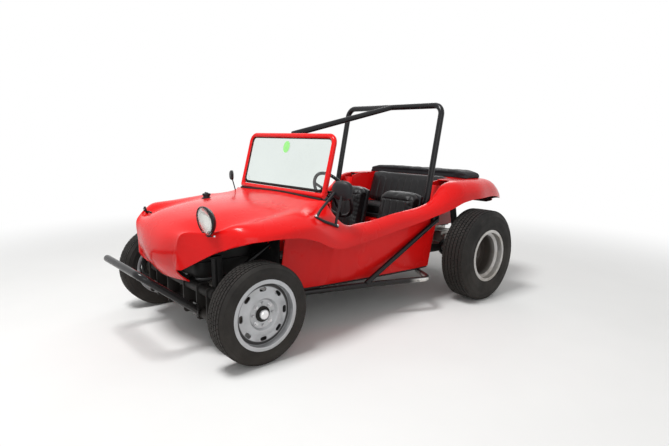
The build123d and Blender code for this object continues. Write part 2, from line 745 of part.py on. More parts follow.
# Track rod and steering box, carried by the beam, just above the steering arms
rod_z = axle_z - 32 + moving_gap + track_rod_radius
box_back_y = beam_y + beam_tube_radius + 8 + panel_gap
box_end = wheel_centre - column_way * ((wheel_centre.Y - front_axle_y + 40) / cos(column_tilt))
with BuildPart() as steering_box:
    with BuildSketch(side_plane(-kingpin_x + 46)):
        with Locations((rod_y, rod_z)):
            Circle(track_rod_radius)
    extrude(amount=2 * (kingpin_x - 46))
    with BuildSketch(side_plane(wheel_centre.X - 36)):
        with BuildLine():
            Polyline((box_back_y, axle_z + 30), (box_end.Y + 10, axle_z + 20),
                     (box_end.Y + 36 * sin(column_tilt), box_end.Z - 36 * cos(column_tilt)),
                     (box_end.Y - 36 * sin(column_tilt), box_end.Z + 36 * cos(column_tilt)),
                     (box_back_y, axle_z + beam_rise + 20), close=True)
        make_face()
    extrude(amount=72)
    with BuildSketch(Plane.XY.offset(rod_z - 8)):
        with BuildLine():
            Polyline((wheel_centre.X - 16, box_end.Y - 20), (wheel_centre.X + 16, box_end.Y - 20),
                     (wheel_centre.X + 12, rod_y + 6), (wheel_centre.X - 12, rod_y + 6), close=True)
        make_face()
    extrude(amount=16)
    with BuildSketch(Plane.XY.offset(rod_z - 8)):
        with Locations((wheel_centre.X, box_end.Y - 12)):
            Circle(15)
    extrude(amount=axle_z + 40 - rod_z)
save(steering_box.part, "steering_box")


# Wheel rim: barrel with two lips and a drop centre, revolved about the axle
def rim_profile(half, disc_x):
    outer = [(half, rim_lip_radius), (half - lip_width, rim_lip_radius),
             (half - lip_width, bead_seat_radius),
             (half - 44, bead_seat_radius), (half - 56, rim_drop_radius), (-half + 42, rim_drop_radius),
             (-half + 30, bead_seat_radius), (-half + lip_width, bead_seat_radius),
             (-half + lip_width, rim_lip_radius), (-half, rim_lip_radius),
             (-half, bead_seat_radius - rim_wall),
             (-half + 28, bead_seat_radius - rim_wall), (-half + 40, rim_drop_radius - rim_wall),
             (disc_x - 4, rim_drop_radius - rim_wall)]
    return outer


# Disc columns: distance inward from the disc's outer face, radius
def wheel(centre_x, half, disc_inset, slot_count, axle_height, axle_y):
    disc_x = half - disc_inset
    barrel = rim_profile(half, disc_x)
    dish = [(disc_x - 4, 128.0), (disc_x + 6, 112.0), (disc_x + 6, 92.0), (disc_x - 10, 80.0),
            (disc_x - 10, 30.0),
            (disc_x - 5, 30.0), (disc_x - 5, 83.0), (disc_x + 11, 94.0), (disc_x + 11, 114.0),
            (disc_x + 2, 131.0), (disc_x + 2, rim_drop_radius - rim_wall)]
    tail = [(half - 54, rim_drop_radius - rim_wall), (half - 42, bead_seat_radius - rim_wall),
            (half, bead_seat_radius - rim_wall)]
    if disc_x + 2 > half - 54:
        tail = [(half - 42, bead_seat_radius - rim_wall), (half, bead_seat_radius - rim_wall)]
    spin_plane = Plane(origin=(centre_x, axle_y, axle_height), x_dir=(1, 0, 0), z_dir=(0, -1, 0))
    spin_axis = Axis((centre_x, axle_y, axle_height), (1, 0, 0))
    with BuildPart() as made:
        with BuildSketch(spin_plane):
            with BuildLine():
                Polyline(*barrel, *dish, *tail, close=True)
            make_face()
        revolve(axis=spin_axis)
        if slot_count:
            with BuildSketch(Plane(origin=(centre_x + disc_x - 40, axle_y, axle_height), x_dir=(0, 1, 0),
                                   z_dir=(1, 0, 0))):
                with PolarLocations(146, slot_count):
                    SlotOverall(34, 15, rotation=90)
            extrude(amount=80, mode=Mode.SUBTRACT)
        with BuildSketch(Plane(origin=(centre_x + disc_x - 7, axle_y, axle_height), x_dir=(0, 1, 0),
                               z_dir=(1, 0, 0))):
            with PolarLocations(lug_circle_radius, lug_count):
                RegularPolygon(lug_radius, 6)
        extrude(amount=lug_height)
    return made.part


front_half = front_rim_width / 2
rear_half = rear_rim_width / 2
front_disc_inset = 34.0
rear_disc_inset = 156.0
front_wheel = wheel(front_wheel_x, front_half, front_disc_inset, 8, axle_z, front_axle_y)
save_pair(front_wheel, "front_wheel")
rear_wheel = wheel(rear_wheel_x, rear_half, rear_disc_inset, 0, rear_axle_z, rear_axle_y)
save_pair(rear_wheel, "rear_wheel")


# Tyre: tread band, round shoulders and bulged walls, revolved about the axle
def tyre(centre_x, radius, width, rim_width, axle_height, axle_y):
    spin_plane = Plane(origin=(centre_x, axle_y, axle_height), x_dir=(1, 0, 0), z_dir=(0, -1, 0))
    half = width / 2
    tread = half * 0.76
    bead = rim_width / 2 - lip_width - seat_gap
    foot = bead_seat_radius + seat_gap
    waist = (radius + foot) / 2
    with BuildPart() as made:
        with BuildSketch(spin_plane):
            with BuildLine():
                Line((-bead, foot), (bead, foot))
                Line((bead, foot), (bead, rim_lip_radius + 1))
                ThreePointArc((bead, rim_lip_radius + 1), (half, waist + 4), (half - 6, radius - 32))
                ThreePointArc((half - 6, radius - 32), (half - 12, radius - 12), (tread, radius - 3))
                ThreePointArc((tread, radius - 3), (0, radius), (-tread, radius - 3))
                ThreePointArc((-tread, radius - 3), (-half + 12, radius - 12), (-half + 6, radius - 32))
                ThreePointArc((-half + 6, radius - 32), (-half, waist + 4), (-bead, rim_lip_radius + 1))
                Line((-bead, rim_lip_radius + 1), (-bead, foot))
            make_face()
            with BuildLine():
                Polyline((-bead + 14, foot - 1), (bead - 14, foot - 1), (half - 18, waist),
                         (half - 26, radius - 26),
                         (-half + 26, radius - 26), (-half + 18, waist), close=True)
            make_face(mode=Mode.SUBTRACT)
        revolve(axis=Axis((centre_x, axle_y, axle_height), (1, 0, 0)))
    return made.part


save_pair(tyre(front_wheel_x, front_tyre_radius, front_tyre_width, front_rim_width, axle_z, front_axle_y),
          "front_tyre")
save_pair(tyre(rear_wheel_x, rear_tyre_radius, rear_tyre_width, rear_rim_width, rear_axle_z, rear_axle_y),
          "rear_tyre")

# Front hub and drum, turning on the spindle
front_face_x = front_wheel_x + front_half - front_disc_inset - 10
drum_back_x = backing_x + backing_wall + moving_gap
with BuildPart() as front_hub:
    with BuildSketch(Plane(origin=(0, front_axle_y, axle_z), x_dir=(1, 0, 0), z_dir=(0, -1, 0))):
        with BuildLine():
            Polyline((drum_back_x, drum_radius), (front_face_x - seat_gap, drum_radius - 6),
                     (front_face_x - seat_gap, 29.5), (front_face_x + 12, 29.0),
                     (front_face_x + 12, cap_radius),
                     (front_face_x + 28, cap_radius - 3), (front_face_x + 32, 10), (front_face_x + 32, 0),
                     (spindle_end_x + 2, 0), (spindle_end_x + 2, spindle_radius + running_gap),
                     (drum_back_x, spindle_radius + running_gap), (drum_back_x, hub_radius),
                     (front_face_x - 14, hub_radius), (front_face_x - 14, drum_radius - 14),
                     (drum_back_x, drum_radius - 10), close=True)
        make_face()
    revolve(axis=Axis((0, front_axle_y, axle_z), (1, 0, 0)))
save_pair(front_hub.part, "front_hub")

# Rear hub, drum and half shaft
rear_face_x = rear_wheel_x + rear_half - rear_disc_inset - 10
shaft_inner_x = rear_face_x - 190
with BuildPart() as rear_hub:
    with BuildSketch(Plane(origin=(0, rear_axle_y, rear_axle_z), x_dir=(1, 0, 0), z_dir=(0, -1, 0))):
        with BuildLine():
            Polyline((shaft_inner_x, 0), (shaft_inner_x, shaft_radius),
                     (rear_face_x - drum_depth, shaft_radius),
                     (rear_face_x - drum_depth, hub_radius), (rear_face_x - 14, hub_radius),
                     (rear_face_x - 14, drum_radius - 14), (rear_face_x - drum_depth, drum_radius - 10),
                     (rear_face_x - drum_depth, drum_radius), (rear_face_x - seat_gap, drum_radius - 6),
                     (rear_face_x - seat_gap, 29.5), (rear_face_x + 12, 29.0),
                     (rear_face_x + 12, cap_radius),
                     (rear_face_x + 30, cap_radius - 4), (rear_face_x + 30, 0), close=True)
        make_face()
    revolve(axis=Axis((0, rear_axle_y, rear_axle_z), (1, 0, 0)))
save_pair(rear_hub.part, "rear_hub")

# Gearbox, axle tubes, rear torsion housing and spring arms
tube_outer_x = rear_face_x - drum_depth - moving_gap
axle_tube_radius = 34.0
with BuildPart() as transaxle:
    with BuildSketch(side_plane(-tube_outer_x)):
        with Locations((rear_axle_y, rear_axle_z)):
            Circle(axle_tube_radius)
    extrude(amount=2 * tube_outer_x)
    for side in (-1, 1):
        with BuildSketch(side_plane(side * (tube_outer_x - backing_wall / 2) - backing_wall / 2)):
            with Locations((rear_axle_y, rear_axle_z)):
                Circle(backing_radius)
        extrude(amount=backing_wall)
        with BuildSketch(side_plane(side * (tube_outer_x + 1))):
            with Locations((rear_axle_y, rear_axle_z)):
                Circle(shaft_radius + running_gap)
        extrude(amount=-side * 160, mode=Mode.SUBTRACT)
    with BuildSketch(cross_plane(rear_axle_y - 240)):
        with Locations((0, rear_axle_z + 8)):
            RectangleRounded(190, 210, 60)
    with BuildSketch(cross_plane(rear_axle_y - 90)):
        with Locations((0, rear_axle_z + 8)):
            RectangleRounded(290, 280, 90)
    with BuildSketch(cross_plane(rear_axle_y + 130)):
        with Locations((0, rear_axle_z + 8)):
            RectangleRounded(330, 300, 110)
    loft(ruled=True)
save(transaxle.part, "transaxle")

torsion_y = rear_axle_y - 288.0
torsion_z = rear_axle_z + 18.0
torsion_half = 450.0
with BuildPart() as rear_suspension:
    with BuildSketch(side_plane(-torsion_half)):
        with Locations((torsion_y, torsion_z)):
            Circle(42)
    extrude(amount=2 * torsion_half)
    for side in (-1, 1):
        with BuildSketch(side_plane(side * (torsion_half + 4) - 4)):
            with BuildLine():
                Polyline((torsion_y, torsion_z - 40), (torsion_y, torsion_z + 40),
                         (rear_axle_y - 50, rear_axle_z + 30), (rear_axle_y - 50, rear_axle_z - 30),
                         close=True)
            make_face()
            with Locations((torsion_y, torsion_z)):
                Circle(52)
            with Locations((rear_axle_y, rear_axle_z)):
                Circle(64)
                Circle(axle_tube_radius + seat_gap, mode=Mode.SUBTRACT)
        extrude(amount=8)
        with BuildSketch(side_plane(side * (torsion_half + 4) - 10)):
            with Locations((torsion_y, torsion_z)):
                Circle(40)
        extrude(amount=20)
    for side in (-1, 1):
        add(pipe([(side * 540, rear_axle_y + 66, rear_axle_z - 6),
                  (side * 506, rear_axle_y + 26, rear_axle_z + 410)],
                 26, 1))
        with BuildSketch(side_plane(side * (tub_half_width + seat_gap))):
            with Locations((rear_axle_y + 28, rear_axle_z + 400)):
                RectangleRounded(80, 70, 10)
        extrude(amount=side * 30)
        with BuildSketch(side_plane(side * (torsion_half + 4))):
            with Locations((rear_axle_y + 66, rear_axle_z - 6)):
                Circle(14)
        extrude(amount=side * (540 - torsion_half))
        with BuildSketch(side_plane(side * (torsion_half + 4) - 4)):
            with BuildLine():
                Polyline((rear_axle_y + 30, rear_axle_z - 36), (rear_axle_y + 30, rear_axle_z + 36),
                         (rear_axle_y + 84, rear_axle_z + 14), (rear_axle_y + 84, rear_axle_z - 26),
                         close=True)
            make_face()
            with Locations((rear_axle_y, rear_axle_z)):
                Circle(axle_tube_radius + seat_gap, mode=Mode.SUBTRACT)
        extrude(amount=8)
save(rear_suspension.part, "rear_suspension")

# Engine: flat four with finned barrels, fan shroud, fan housing, pulley and generator
crank_z = rear_axle_z + 22.0
engine_front_y = rear_axle_y + 130.0 + seat_gap
engine_length = 330.0
fin_count = 6
fin_wall = 6.0
fin_pitch = 16.0
barrel_radius = 52.0
head_half_height = 64.0
with BuildPart() as engine:
    with BuildSketch(cross_plane(engine_front_y)):
        with Locations((0, crank_z)):
            RectangleRounded(250, 230, 40)
    extrude(amount=-engine_length)
    for side in (-1, 1):
        for y in (engine_front_y + 95, engine_front_y + 235):
            with BuildSketch(side_plane(side * 120)):
                with Locations((y, crank_z)):
                    Circle(barrel_radius - 10)
            extrude(amount=side * 150)
            for index in range(fin_count):
                with BuildSketch(side_plane(side * (135 + index * fin_pitch))):
                    with Locations((y, crank_z)):
                        Circle(barrel_radius + 8)
                extrude(amount=side * fin_wall)
        with BuildSketch(side_plane(side * 236)):
            with Locations((engine_front_y + 165, crank_z)):
                RectangleRounded(262, 2 * head_half_height, 14)
        extrude(amount=side * 66)
        with BuildSketch(side_plane(side * 302)):
            with Locations((engine_front_y + 165, crank_z - 8)):
                RectangleRounded(246, 96, 20)
        extrude(amount=side * 34)
    with BuildSketch(cross_plane(engine_front_y + engine_length)):
        with Locations((0, crank_z - 30)):
            Circle(72)
    extrude(amount=-26)
    with BuildSketch(cross_plane(engine_front_y + engine_length - 60)):
        with Locations((-70, crank_z + 140)):
            Rectangle(70, 60)
    extrude(amount=100)
save(engine.part, "engine")

shroud_z = crank_z + 116.0
fan_centre_z = shroud_z + 140.0
with BuildPart() as fan_shroud:
    with BuildSketch(cross_plane(engine_front_y + 60)):
        with BuildLine():
            Polyline((-292, shroud_z), (292, shroud_z), (292, shroud_z + 66), (168, shroud_z + 120),
                     (-168, shroud_z + 120), (-292, shroud_z + 66), close=True)
        make_face()
        with Locations((0, fan_centre_z)):
            Circle(172)
        with Locations((0, shroud_z - 100)):
            Rectangle(400, 200, mode=Mode.SUBTRACT)
    extrude(amount=-92)
    with BuildSketch(cross_plane(engine_front_y + 152)):
        with Locations((0, fan_centre_z)):
            Circle(58)
    extrude(amount=-112)
    with BuildSketch(cross_plane(engine_front_y + 264)):
        with Locations((0, fan_centre_z)):
            Circle(64)
    extrude(amount=-22)
    with BuildSketch(Plane.XY.offset(crank_z + 115 + seat_gap)):
        with Locations((0, engine_front_y + 210)):
            Rectangle(70, 70)
    extrude(amount=fan_centre_z - crank_z - 115 - seat_gap)
save(fan_shroud.part, "fan_shroud")

# Exhaust: silencer across the tail with head pipes and two tail pipes
silencer_y = rear_axle_y + 548.0
silencer_z = crank_z - 118.0
silencer_radius = 56.0
silencer_half = 230.0
port_z = crank_z - head_half_height - seat_gap
with BuildPart() as exhaust:
    with BuildSketch(side_plane(-silencer_half)):
        with Locations((silencer_y, silencer_z)):
            Circle(silencer_radius)
    extrude(amount=2 * silencer_half)
    for side in (-1, 1):
        add(pipe([(side * 272, engine_front_y + 235, port_z),
                  (side * 272, engine_front_y + 235, crank_z - 128),
                  (side * 160, silencer_y - 10, silencer_z)], 19, 30))
        add(pipe([(side * 272, engine_front_y + 95, port_z),
                  (side * 272, engine_front_y + 95, crank_z - 150),
                  (side * 215, silencer_y - 10, silencer_z - 20)], 19, 30))
        add(pipe([(side * 120, silencer_y, silencer_z - 20),
                  (side * 120, silencer_y + 82, silencer_z - 34)], 16, 1))
save(exhaust.part, "exhaust")

# Headlamp: round bowl on a strap from the wing's seam, and its lens
lamp_x = 486.0
lamp_y = front_y(-214)
lamp_z = 819.0
lamp_radius = 85.0
lamp_rim = 16.0
lamp_bowl_depth = 88.0
lens_bulge = 12.0
bracket_y = front_y(-158)
bracket_foot_z = 720.0
bracket_top_z = 752.0
bracket_strap = 34.0
lamp_plane = Plane(origin=(lamp_x, lamp_y, lamp_z), x_dir=(0, 1, 0), z_dir=(-1, 0, 0))
lamp_axis = Axis((lamp_x, lamp_y, lamp_z), (0, 1, 0))


# Middle of a round dome between its rim and its tip, whose centre lies on the axis
def dome_middle(rim_at, rim_radius, tip_at):
    rise = tip_at - rim_at
    ball = (rim_radius ** 2 + rise ** 2) / (2 * abs(rise))
    centre = tip_at - ball * (1 if rise > 0 else -1)
    across = rim_radius / 2
    along = sqrt(ball ** 2 - across ** 2) * (1 if rise > 0 else -1)
    return (centre + along, across)


# Lamp bracket: foot seated on the shell at the wing's seam and an upright strap
def lamp_bracket(strap_top):
    with BuildPart() as made:
        with BuildSketch(Plane.XY.offset(bracket_foot_z)):
            with Locations((lamp_x, bracket_y)):
                RectangleRounded(40, 40, 8)
        extrude(amount=bracket_top_z - bracket_foot_z)
        with BuildSketch(Plane.XY.offset(bracket_foot_z)):
            with Locations((lamp_x, bracket_y)):
                Rectangle(28, 10)
        extrude(amount=strap_top - bracket_foot_z)
    return seated(made.part, [front_shell])


with BuildPart() as headlamp:
    with BuildSketch(lamp_plane):
        with BuildLine():
            Line((0, 0), (0, lamp_radius))
            Line((0, lamp_radius), (lamp_rim, lamp_radius))
            ThreePointArc((lamp_rim, lamp_radius), dome_middle(lamp_rim, lamp_radius, lamp_bowl_depth),
                          (lamp_bowl_depth, 0))
            Line((lamp_bowl_depth, 0), (0, 0))
        make_face()
    revolve(axis=lamp_axis)
    add(lamp_bracket(lamp_z - lamp_radius * 0.5))
save(headlamp.part, "headlamp_left")
with BuildPart() as headlamp_lens:
    with BuildSketch(lamp_plane):
        with BuildLine():
            Line((-seat_gap, 0), (-seat_gap, lamp_radius - 6))
            ThreePointArc((-seat_gap, lamp_radius - 6), dome_middle(-seat_gap, lamp_radius - 6, -lens_bulge),
                          (-lens_bulge, 0))
            Line((-lens_bulge, 0), (-seat_gap, 0))
        make_face()
    revolve(axis=lamp_axis)
save(headlamp_lens.part, "headlamp_lens")
save(mirror(lamp_bracket(bracket_top_z + bracket_strap), about=Plane.YZ), "lamp_bracket_right")

# Fuel filler cap on the bonnet
cap_x = -286.0
cap_y = front_y(196)
cap_foot_z = 834.0
with BuildPart() as filler:
    with BuildSketch(Plane.XY.offset(cap_foot_z)):
        with Locations((cap_x, cap_y)):
            Circle(26)
    extrude(amount=34)
    with BuildSketch(Plane.XY.offset(cap_foot_z + 22)):
        with Locations((cap_x, cap_y)):
            Circle(36)
    extrude(amount=22)
save(seated(filler.part, [front_shell]), "fuel_cap")


# Door mirror: domed shell with a flat glass side towards the driver, on bent stalks
def mirror_head(x, y, z, width, height):
    with BuildPart() as made:
        with BuildSketch(cross_plane(y)):
            with Locations((x, z)):
                RectangleRounded(width, height, height * 0.4)
        extrude(amount=34, taper=22)
    return made.part


mirror_y = front_y(668)
mirror_z = 966.0
mirror_foot_top = 800.0
with BuildPart() as mirror_stand:
    with BuildSketch(Plane.XY.offset(mirror_foot_top - 110)):
        with Locations((626, front_y(662))):
            RectangleRounded(74, 34, 8)
    extrude(amount=110)
with BuildPart() as mirror_left:
    add(seated(mirror_stand.part, [body_side, front_wing]))
    add(mirror_head(642, mirror_y, mirror_z, 152, 104))
    for x in (614, 664):
        add(pipe([(x, mirror_y - 14, mirror_z - 40), (x - 12, front_y(662), mirror_foot_top - 8)], 8, 1))
save(mirror_left.part, "mirror_left")
mirror_stalk = seated(pipe([(-598, front_y(588), 914), (-566, front_y(592), 850)], 6, 1), [front_shell])
with BuildPart() as mirror_right:
    add(mirror_head(-598, front_y(600), 956, 96, 116))
    add(mirror_stalk)
save(mirror_right.part, "mirror_right")

# Steering wheel with its shaft, and the fixed column round it
wheel_radius = 182.0
grip_radius = 12.0
column_bore = 10.0
with BuildPart() as steering_wheel:
    with BuildSketch(Plane(origin=wheel_centre, x_dir=(1, 0, 0), z_dir=Vector(1, 0, 0).cross(column_way))):
        with Locations((wheel_radius, 0)):
            Circle(grip_radius)
    revolve(axis=Axis(wheel_centre, column_way))
    with BuildSketch(wheel_plane.offset(-5)):
        Circle(34)
        with PolarLocations((wheel_radius - 6) / 2, 3, start_angle=90):
            Rectangle(wheel_radius - 6, 26)
    extrude(amount=6)
    with BuildSketch(wheel_plane.offset(-46)):
        Circle(26)
    extrude(amount=50)
    with BuildSketch(wheel_plane.offset(-300)):
        Circle(column_bore)
    extrude(amount=270)
save(steering_wheel.part, "steering_wheel")
column_length = (wheel_centre - box_end).length - 46 - moving_gap - seat_gap
with BuildPart() as steering_column:
    with BuildSketch(wheel_plane.offset(-46 - moving_gap - column_length)):
        Circle(column_radius - 6)
    extrude(amount=column_length)
    with BuildSketch(wheel_plane.offset(-46 - moving_gap - column_drop)):
        Circle(column_radius)
    extrude(amount=column_drop)
    with BuildSketch(wheel_plane.offset(-301)):
        Circle(column_bore + running_gap)
    extrude(amount=300, mode=Mode.SUBTRACT)
save(steering_column.part, "steering_column")

# Seats: cushion and back on a plinth, one profile extruded across
seat_base_z = floor_top_z + runner_height + seat_gap


def seat(x, half, front, base, depth, cushion, back_rise, back_lean, back_wall):
    back_y = front + depth
    with BuildPart() as made:
        with BuildSketch(side_plane(x - half)):
            with BuildLine():
                FilletPolyline((front, base), (front, base + cushion), (back_y - 30, base + cushion - 34),
                               (back_y - 30 + back_lean, base + cushion + back_rise),
                               (back_y + back_lean + back_wall - 30, base + cushion + back_rise),
                               (back_y + back_wall - 20, base), radius=32, close=True)
            make_face()
        extrude(amount=2 * half)
    return made.part


save_pair(seat(seat_x, seat_half, seat_front_y, seat_base_z, 500, 150, 400, 120, 110), "seat")

# Rear bench on the shelf, with its wide back lying up against the deck
bench_half = tub_half_width - tub_skin - 6
bench_front_y = tub_mouth_y + 40
with BuildPart() as rear_seat:
    with BuildSketch(side_plane(-bench_half)):
        with BuildLine():
            FilletPolyline((bench_front_y, tub_floor_z + tub_skin + seat_gap), (bench_front_y, 700),
                           (rear_y(-72), 690),
                           (rear_y(28), 985), (tub_back_y - tub_skin - 4, 985),
                           (tub_back_y - tub_skin - 4, tub_floor_z + tub_skin + seat_gap), radius=26,
                           close=True)
        make_face()
    extrude(amount=2 * bench_half)
save(rear_seat.part, "rear_seat")

# Folded hood lying on the deck behind the bench, thinner towards its ends
hood_half = 580.0
hood_top_z = 1008.0
with BuildPart() as hood_pile:
    with BuildSketch(side_plane(-hood_half)):
        with BuildLine():
            FilletPolyline((tub_back_y - 4, 940), (tub_back_y - 4, 980), (rear_y(250), hood_top_z),
                           (rear_y(330), hood_top_z - 16), (rear_y(350), 940), radius=12, close=True)
        make_face()
    extrude(amount=2 * hood_half)
    with BuildSketch(cross_plane(rear_axle_y)):
        with BuildLine():
            Polyline((-hood_half, 930), (-hood_half, hood_top_z - 26), (-hood_half + 120, hood_top_z),
                     (hood_half - 120, hood_top_z), (hood_half, hood_top_z - 26), (hood_half, 930),
                     close=True)
        make_face()
    extrude(amount=-2 * hood_half, mode=Mode.INTERSECT)
save(seated(hood_pile.part, [rear_shell]), "folded_hood")

# Gear lever, handbrake and three pedals, each on its own foot
tunnel_top_z = floor_top_z + tunnel_height + seat_gap
lever_y = middle_y(0.27)
brake_y = middle_y(0.47)
with BuildPart() as controls:
    with BuildSketch(Plane.XY.offset(tunnel_top_z)):
        with Locations((0, lever_y), (0, brake_y)):
            Circle(26)
    extrude(amount=10)
    add(pipe([(0, lever_y, tunnel_top_z + 9), (0, lever_y + 20, tunnel_top_z + 110),
              (0, lever_y + 80, tunnel_top_z + 250)], 7, 40))
    with Locations((0, lever_y + 84, tunnel_top_z + 260)):
        Sphere(22)
    add(pipe([(0, brake_y, tunnel_top_z + 10), (0, brake_y + 30, tunnel_top_z + 38),
              (0, brake_y + 280, tunnel_top_z + 86)], 11, 14))
    for x in (200, 272, 352):
        with BuildSketch(Plane.XY.offset(floor_top_z + seat_gap)):
            with Locations((x, toe_low_y + 92)):
                Rectangle(24, 30)
        extrude(amount=14)
        add(pipe([(x, toe_low_y + 92, floor_top_z + 8), (x, toe_low_y + 116, floor_top_z + 140)], 7, 1))
        with BuildSketch(Plane(origin=(x, toe_low_y + 116, floor_top_z + 148), x_dir=(1, 0, 0),
                               z_dir=(0, 0.9, 0.44))):
            RectangleRounded(52, 60, 8)
        extrude(amount=10)
save(controls.part, "controls")

# Tail lamps on the apron
with BuildPart() as tail_lamps:
    with BuildSketch(cross_plane(tail_y + seat_gap)):
        with Locations((430, 762), (-430, 762)):
            Circle(38)
    extrude(amount=-(lamp_depth - seat_gap))
save(tail_lamps.part, "tail_lamps")
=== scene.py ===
import json
import math

import bmesh
import bpy
import numpy as np
from mathutils import Matrix, Vector


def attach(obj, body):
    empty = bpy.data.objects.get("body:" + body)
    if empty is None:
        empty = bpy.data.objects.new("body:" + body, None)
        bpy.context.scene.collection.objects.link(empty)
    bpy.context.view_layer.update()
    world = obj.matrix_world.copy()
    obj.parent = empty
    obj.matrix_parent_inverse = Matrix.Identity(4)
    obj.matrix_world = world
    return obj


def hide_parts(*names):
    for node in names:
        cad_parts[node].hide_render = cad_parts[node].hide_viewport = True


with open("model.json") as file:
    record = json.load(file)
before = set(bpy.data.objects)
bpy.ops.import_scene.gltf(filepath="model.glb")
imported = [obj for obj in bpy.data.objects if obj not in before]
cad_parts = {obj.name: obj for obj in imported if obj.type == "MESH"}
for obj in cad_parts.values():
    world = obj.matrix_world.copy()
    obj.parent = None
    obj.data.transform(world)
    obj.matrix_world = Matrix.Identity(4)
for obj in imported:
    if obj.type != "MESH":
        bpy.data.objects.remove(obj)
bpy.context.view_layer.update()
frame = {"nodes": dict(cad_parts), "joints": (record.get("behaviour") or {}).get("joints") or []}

MM = 0.001
both_sides = ((1, "left"), (-1, "right"))
joint_at = {joint["name"]: Vector(joint["pos_m"]) for joint in frame["joints"]}
front_axle = joint_at["front_spin_left"]
rear_axle = joint_at["rear_spin_left"]
cowl_back = 612 * MM
quarter_ahead = -412 * MM
cowl_y = front_axle.y + cowl_back
quarter_y = rear_axle.y + quarter_ahead
skin = 8 * MM


def wheel_centre(side, axle, further=0.0):
    return Vector((side * (axle.x + further), axle.y, axle.z))


# Material building blocks

def new_material(name):
    material = bpy.data.materials.new(name)
    material.use_nodes = True
    return material, material.node_tree, material.node_tree.nodes["Principled BSDF"]


def fill(made, **values):
    # Values for a node's inputs, named with _ for a space, or by number
    for key, value in values.items():
        made.inputs[int(key) if key.isdigit() else key.replace("_", " ")].default_value = value
    return made


def node(tree, kind, **settings):
    # Settings that begin with in_ are values for the node's inputs
    made = tree.nodes.new(kind)
    for key, value in settings.items():
        if key.startswith("in_"):
            fill(made, **{key[3:]: value})
        else:
            setattr(made, key, value)
    return made


def wire(tree, *links):
    # Each link is a node and its output, then a node and its input
    for source, output, target, entry in links:
        tree.links.new(source.outputs[output], target.inputs[entry])


def group_tree(name, inputs, outputs):
    tree = bpy.data.node_groups.new(name, "ShaderNodeTree")
    for label, kind, value in inputs:
        socket = tree.interface.new_socket(label, in_out="INPUT", socket_type="NodeSocket" + kind)
        socket.default_value = value
    for label, kind in outputs:
        tree.interface.new_socket(label, in_out="OUTPUT", socket_type="NodeSocket" + kind)
    return tree, tree.nodes.new("NodeGroupInput"), tree.nodes.new("NodeGroupOutput")


def build_grain():
    tree, given, out = group_tree(
        "fine_grain", [("Scale", "Float", 200.0), ("Strength", "Float", 0.1)], [("Normal", "Vector")])
    place = node(tree, "ShaderNodeTexCoord")
    noise = node(tree, "ShaderNodeTexNoise", in_Detail=3.0)
    bump = node(tree, "ShaderNodeBump", in_Distance=0.001)
    wire(tree, (place, "Object", noise, "Vector"), (given, "Scale", noise, "Scale"),
         (given, "Strength", bump, "Strength"), (noise, "Fac", bump, "Height"),
         (bump, "Normal", out, "Normal"))
    return tree


def build_dust():
    # Road dust: heavier near the ground and in broad drifts
    tree, given, out = group_tree(
        "road_dust", [("Color", "Color", (0.5, 0.5, 0.5, 1)), ("Top", "Float", 0.8),
                      ("Amount", "Float", 0.3)], [("Color", "Color"), ("Mask", "Float")])
    place = node(tree, "ShaderNodeTexCoord")
    split = node(tree, "ShaderNodeSeparateXYZ")
    height = node(tree, "ShaderNodeMapRange", in_To_Min=1.0, in_To_Max=0.0)
    drift = node(tree, "ShaderNodeTexNoise", in_Scale=5.0, in_Detail=6.0)
    product = node(tree, "ShaderNodeMath", operation="MULTIPLY")
    share = node(tree, "ShaderNodeMath", operation="MULTIPLY")
    mix = node(tree, "ShaderNodeMix", data_type="RGBA", in_B=(0.24, 0.19, 0.15, 1))
    wire(tree, (place, "Object", split, 0), (place, "Object", drift, "Vector"),
         (split, "Z", height, "Value"), (given, "Top", height, "From Max"),
         (height, "Result", product, 0), (drift, "Fac", product, 1),
         (product, 0, share, 0), (given, "Amount", share, 1),
         (share, 0, mix, "Factor"), (given, "Color", mix, "A"),
         (mix, "Result", out, "Color"), (share, 0, out, "Mask"))
    return tree


def build_tone():
    # Slow variation between two tones of one finish
    tree, given, out = group_tree(
        "tone_drift", [("Light", "Color", (0.5, 0.5, 0.5, 1)), ("Dark", "Color", (0.4, 0.4, 0.4, 1)),
                       ("Scale", "Float", 4.0)], [("Color", "Color"), ("Mask", "Float")])
    place = node(tree, "ShaderNodeTexCoord")
    noise = node(tree, "ShaderNodeTexNoise", in_Detail=4.0, in_Roughness=0.6)
    spread = node(tree, "ShaderNodeMapRange", in_From_Min=0.35, in_From_Max=0.65)
    mix = node(tree, "ShaderNodeMix", data_type="RGBA")
    wire(tree, (place, "Object", noise, "Vector"), (given, "Scale", noise, "Scale"),
         (noise, "Fac", spread, "Value"), (spread, "Result", mix, "Factor"),
         (given, "Light", mix, "A"), (given, "Dark", mix, "B"),
         (mix, "Result", out, "Color"), (spread, "Result", out, "Mask"))
    return tree


grain_tree = build_grain()
dust_tree = build_dust()
tone_tree = build_tone()


def place_group(tree, group, **values):
    return fill(node(tree, "ShaderNodeGroup", node_tree=group), **values)


def toned(name, light, dark, scale, grain):
    # A material whose colour drifts between two tones, under a fine grain
    material, tree, shader = new_material(name)
    tone = place_group(tree, tone_tree, Light=(*light, 1), Dark=(*dark, 1), Scale=scale)
    fine = place_group(tree, grain_tree, Scale=grain[0], Strength=grain[1])
    wire(tree, (tone, "Color", shader, "Base Color"), (fine, "Normal", shader, "Normal"))
    return material, tree, shader, tone


